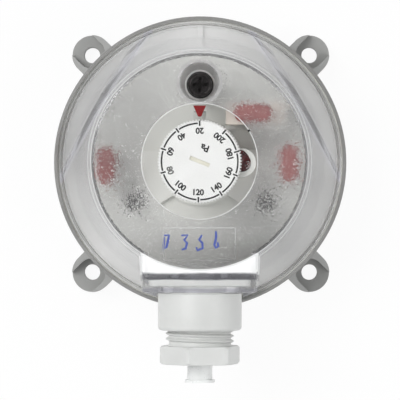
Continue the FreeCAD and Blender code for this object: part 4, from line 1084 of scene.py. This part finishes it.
half_floor = 3.0
floor_z = -0.1 * MM
floor_glow = 0.93
floor_mesh = bpy.data.meshes.new("floor")
floor_sides = ((-1, -1), (1, -1), (1, 1), (-1, 1))
floor_corners = [(x * half_floor, y * half_floor, floor_z) for x, y in floor_sides]
floor_mesh.from_pydata(floor_corners, [], [(0, 1, 2, 3)])
floor = bpy.data.objects.new("floor", floor_mesh)
bpy.context.scene.collection.objects.link(floor)
paper = bpy.data.materials.new("white_sheet")
paper.use_nodes = True
tree = paper.node_tree
sheet = tree.nodes["Principled BSDF"]
sheet.inputs["Base Color"].default_value = (0.88, 0.88, 0.88, 1.0)
sheet.inputs["Roughness"].default_value = 0.9
glow = add_node(tree, "Emission", {"Strength": 1.0}).outputs["Emission"]
glow_share = tree_math(tree, "MULTIPLY", seen_share(tree), floor_glow)
half_lit = linked(tree, add_node(tree, "MixShader"), (glow_share, sheet.outputs["BSDF"], glow))
tree.links.new(half_lit["Shader"], tree.nodes["Material Output"].inputs["Surface"])
floor_mesh.materials.append(paper)

low_way, high_way = 0.75, 0.95
wall_light, ceiling_light = 1.0, 0.07
world = bpy.data.worlds.new("bright_room")
bpy.context.scene.world = world
world.use_nodes = True
tree = world.node_tree
room = tree.nodes["Background"]
room.inputs["Color"].default_value = (0.97, 0.985, 1.0, 1.0)
room.inputs["Strength"].default_value = 0.5
way_up = axes_of(tree, add_node(tree, "TexCoord").outputs["Generated"])["Z"]
past_walls = value_between(tree, way_up, wall_light, ceiling_light, low_way, high_way)
camera_ray = add_node(tree, "LightPath").outputs["Is Camera Ray"]
backdrop = add_node(tree, "Background", {"Color": (1.0, 1.0, 1.0, 1.0)})
brightness = tree_math(tree, "MAXIMUM", camera_ray, past_walls)
tree.links.new(brightness, backdrop.inputs["Strength"])
room_and_backdrop = (seen_share(tree), room.outputs["Background"], backdrop.outputs["Background"])
room_mix = linked(tree, add_node(tree, "MixShader"), room_and_backdrop)["Shader"]
tree.links.new(room_mix, tree.nodes["World Output"].inputs["Surface"])


def look_at(thing, target, up):
    """Turns a lamp or a camera to a point, with its top side towards up."""
    back = (thing.location - target).normalized()
    side = up.cross(back).normalized()
    top = back.cross(side)
    turned = Matrix((side, top, back)).transposed().to_4x4()
    turned.translation = thing.location
    thing.matrix_world = turned


def soft_lamp(name, place, width, watts):
    lamp = bpy.data.lights.new(name, "AREA")
    lamp.shape = "SQUARE"
    lamp.size = width
    lamp.energy = watts
    held = bpy.data.objects.new(name, lamp)
    held.location = place
    bpy.context.scene.collection.objects.link(held)
    look_at(held, Vector((0.0, 0.0, 0.03)), Vector((0.0, 1.0, 0.0)))


soft_lamp("key_lamp", Vector((-0.5, 0.28, 0.95)), width=0.6, watts=6.7)
soft_lamp("fill_lamp", Vector((0.7, -0.35, 0.8)), width=0.8, watts=3.3)
soft_lamp("low_lamp", Vector((-0.6, -0.65, 0.5)), width=0.5, watts=0.7)

camera = bpy.data.cameras.new("camera")
camera.sensor_width = 36.0
camera.lens = 261.4
camera.clip_end = 20.0
tripod = bpy.data.objects.new("camera", camera)
tripod.location = Vector((6.0, -12.0, 874.0)) * MM
bpy.context.scene.collection.objects.link(tripod)
look_at(tripod, Vector((-0.05, -10.9, 29.0)) * MM, Vector((0.0, 1.0, 0.0)))
bpy.context.scene.camera = tripod
bpy.context.scene.view_settings.view_transform = "Standard"
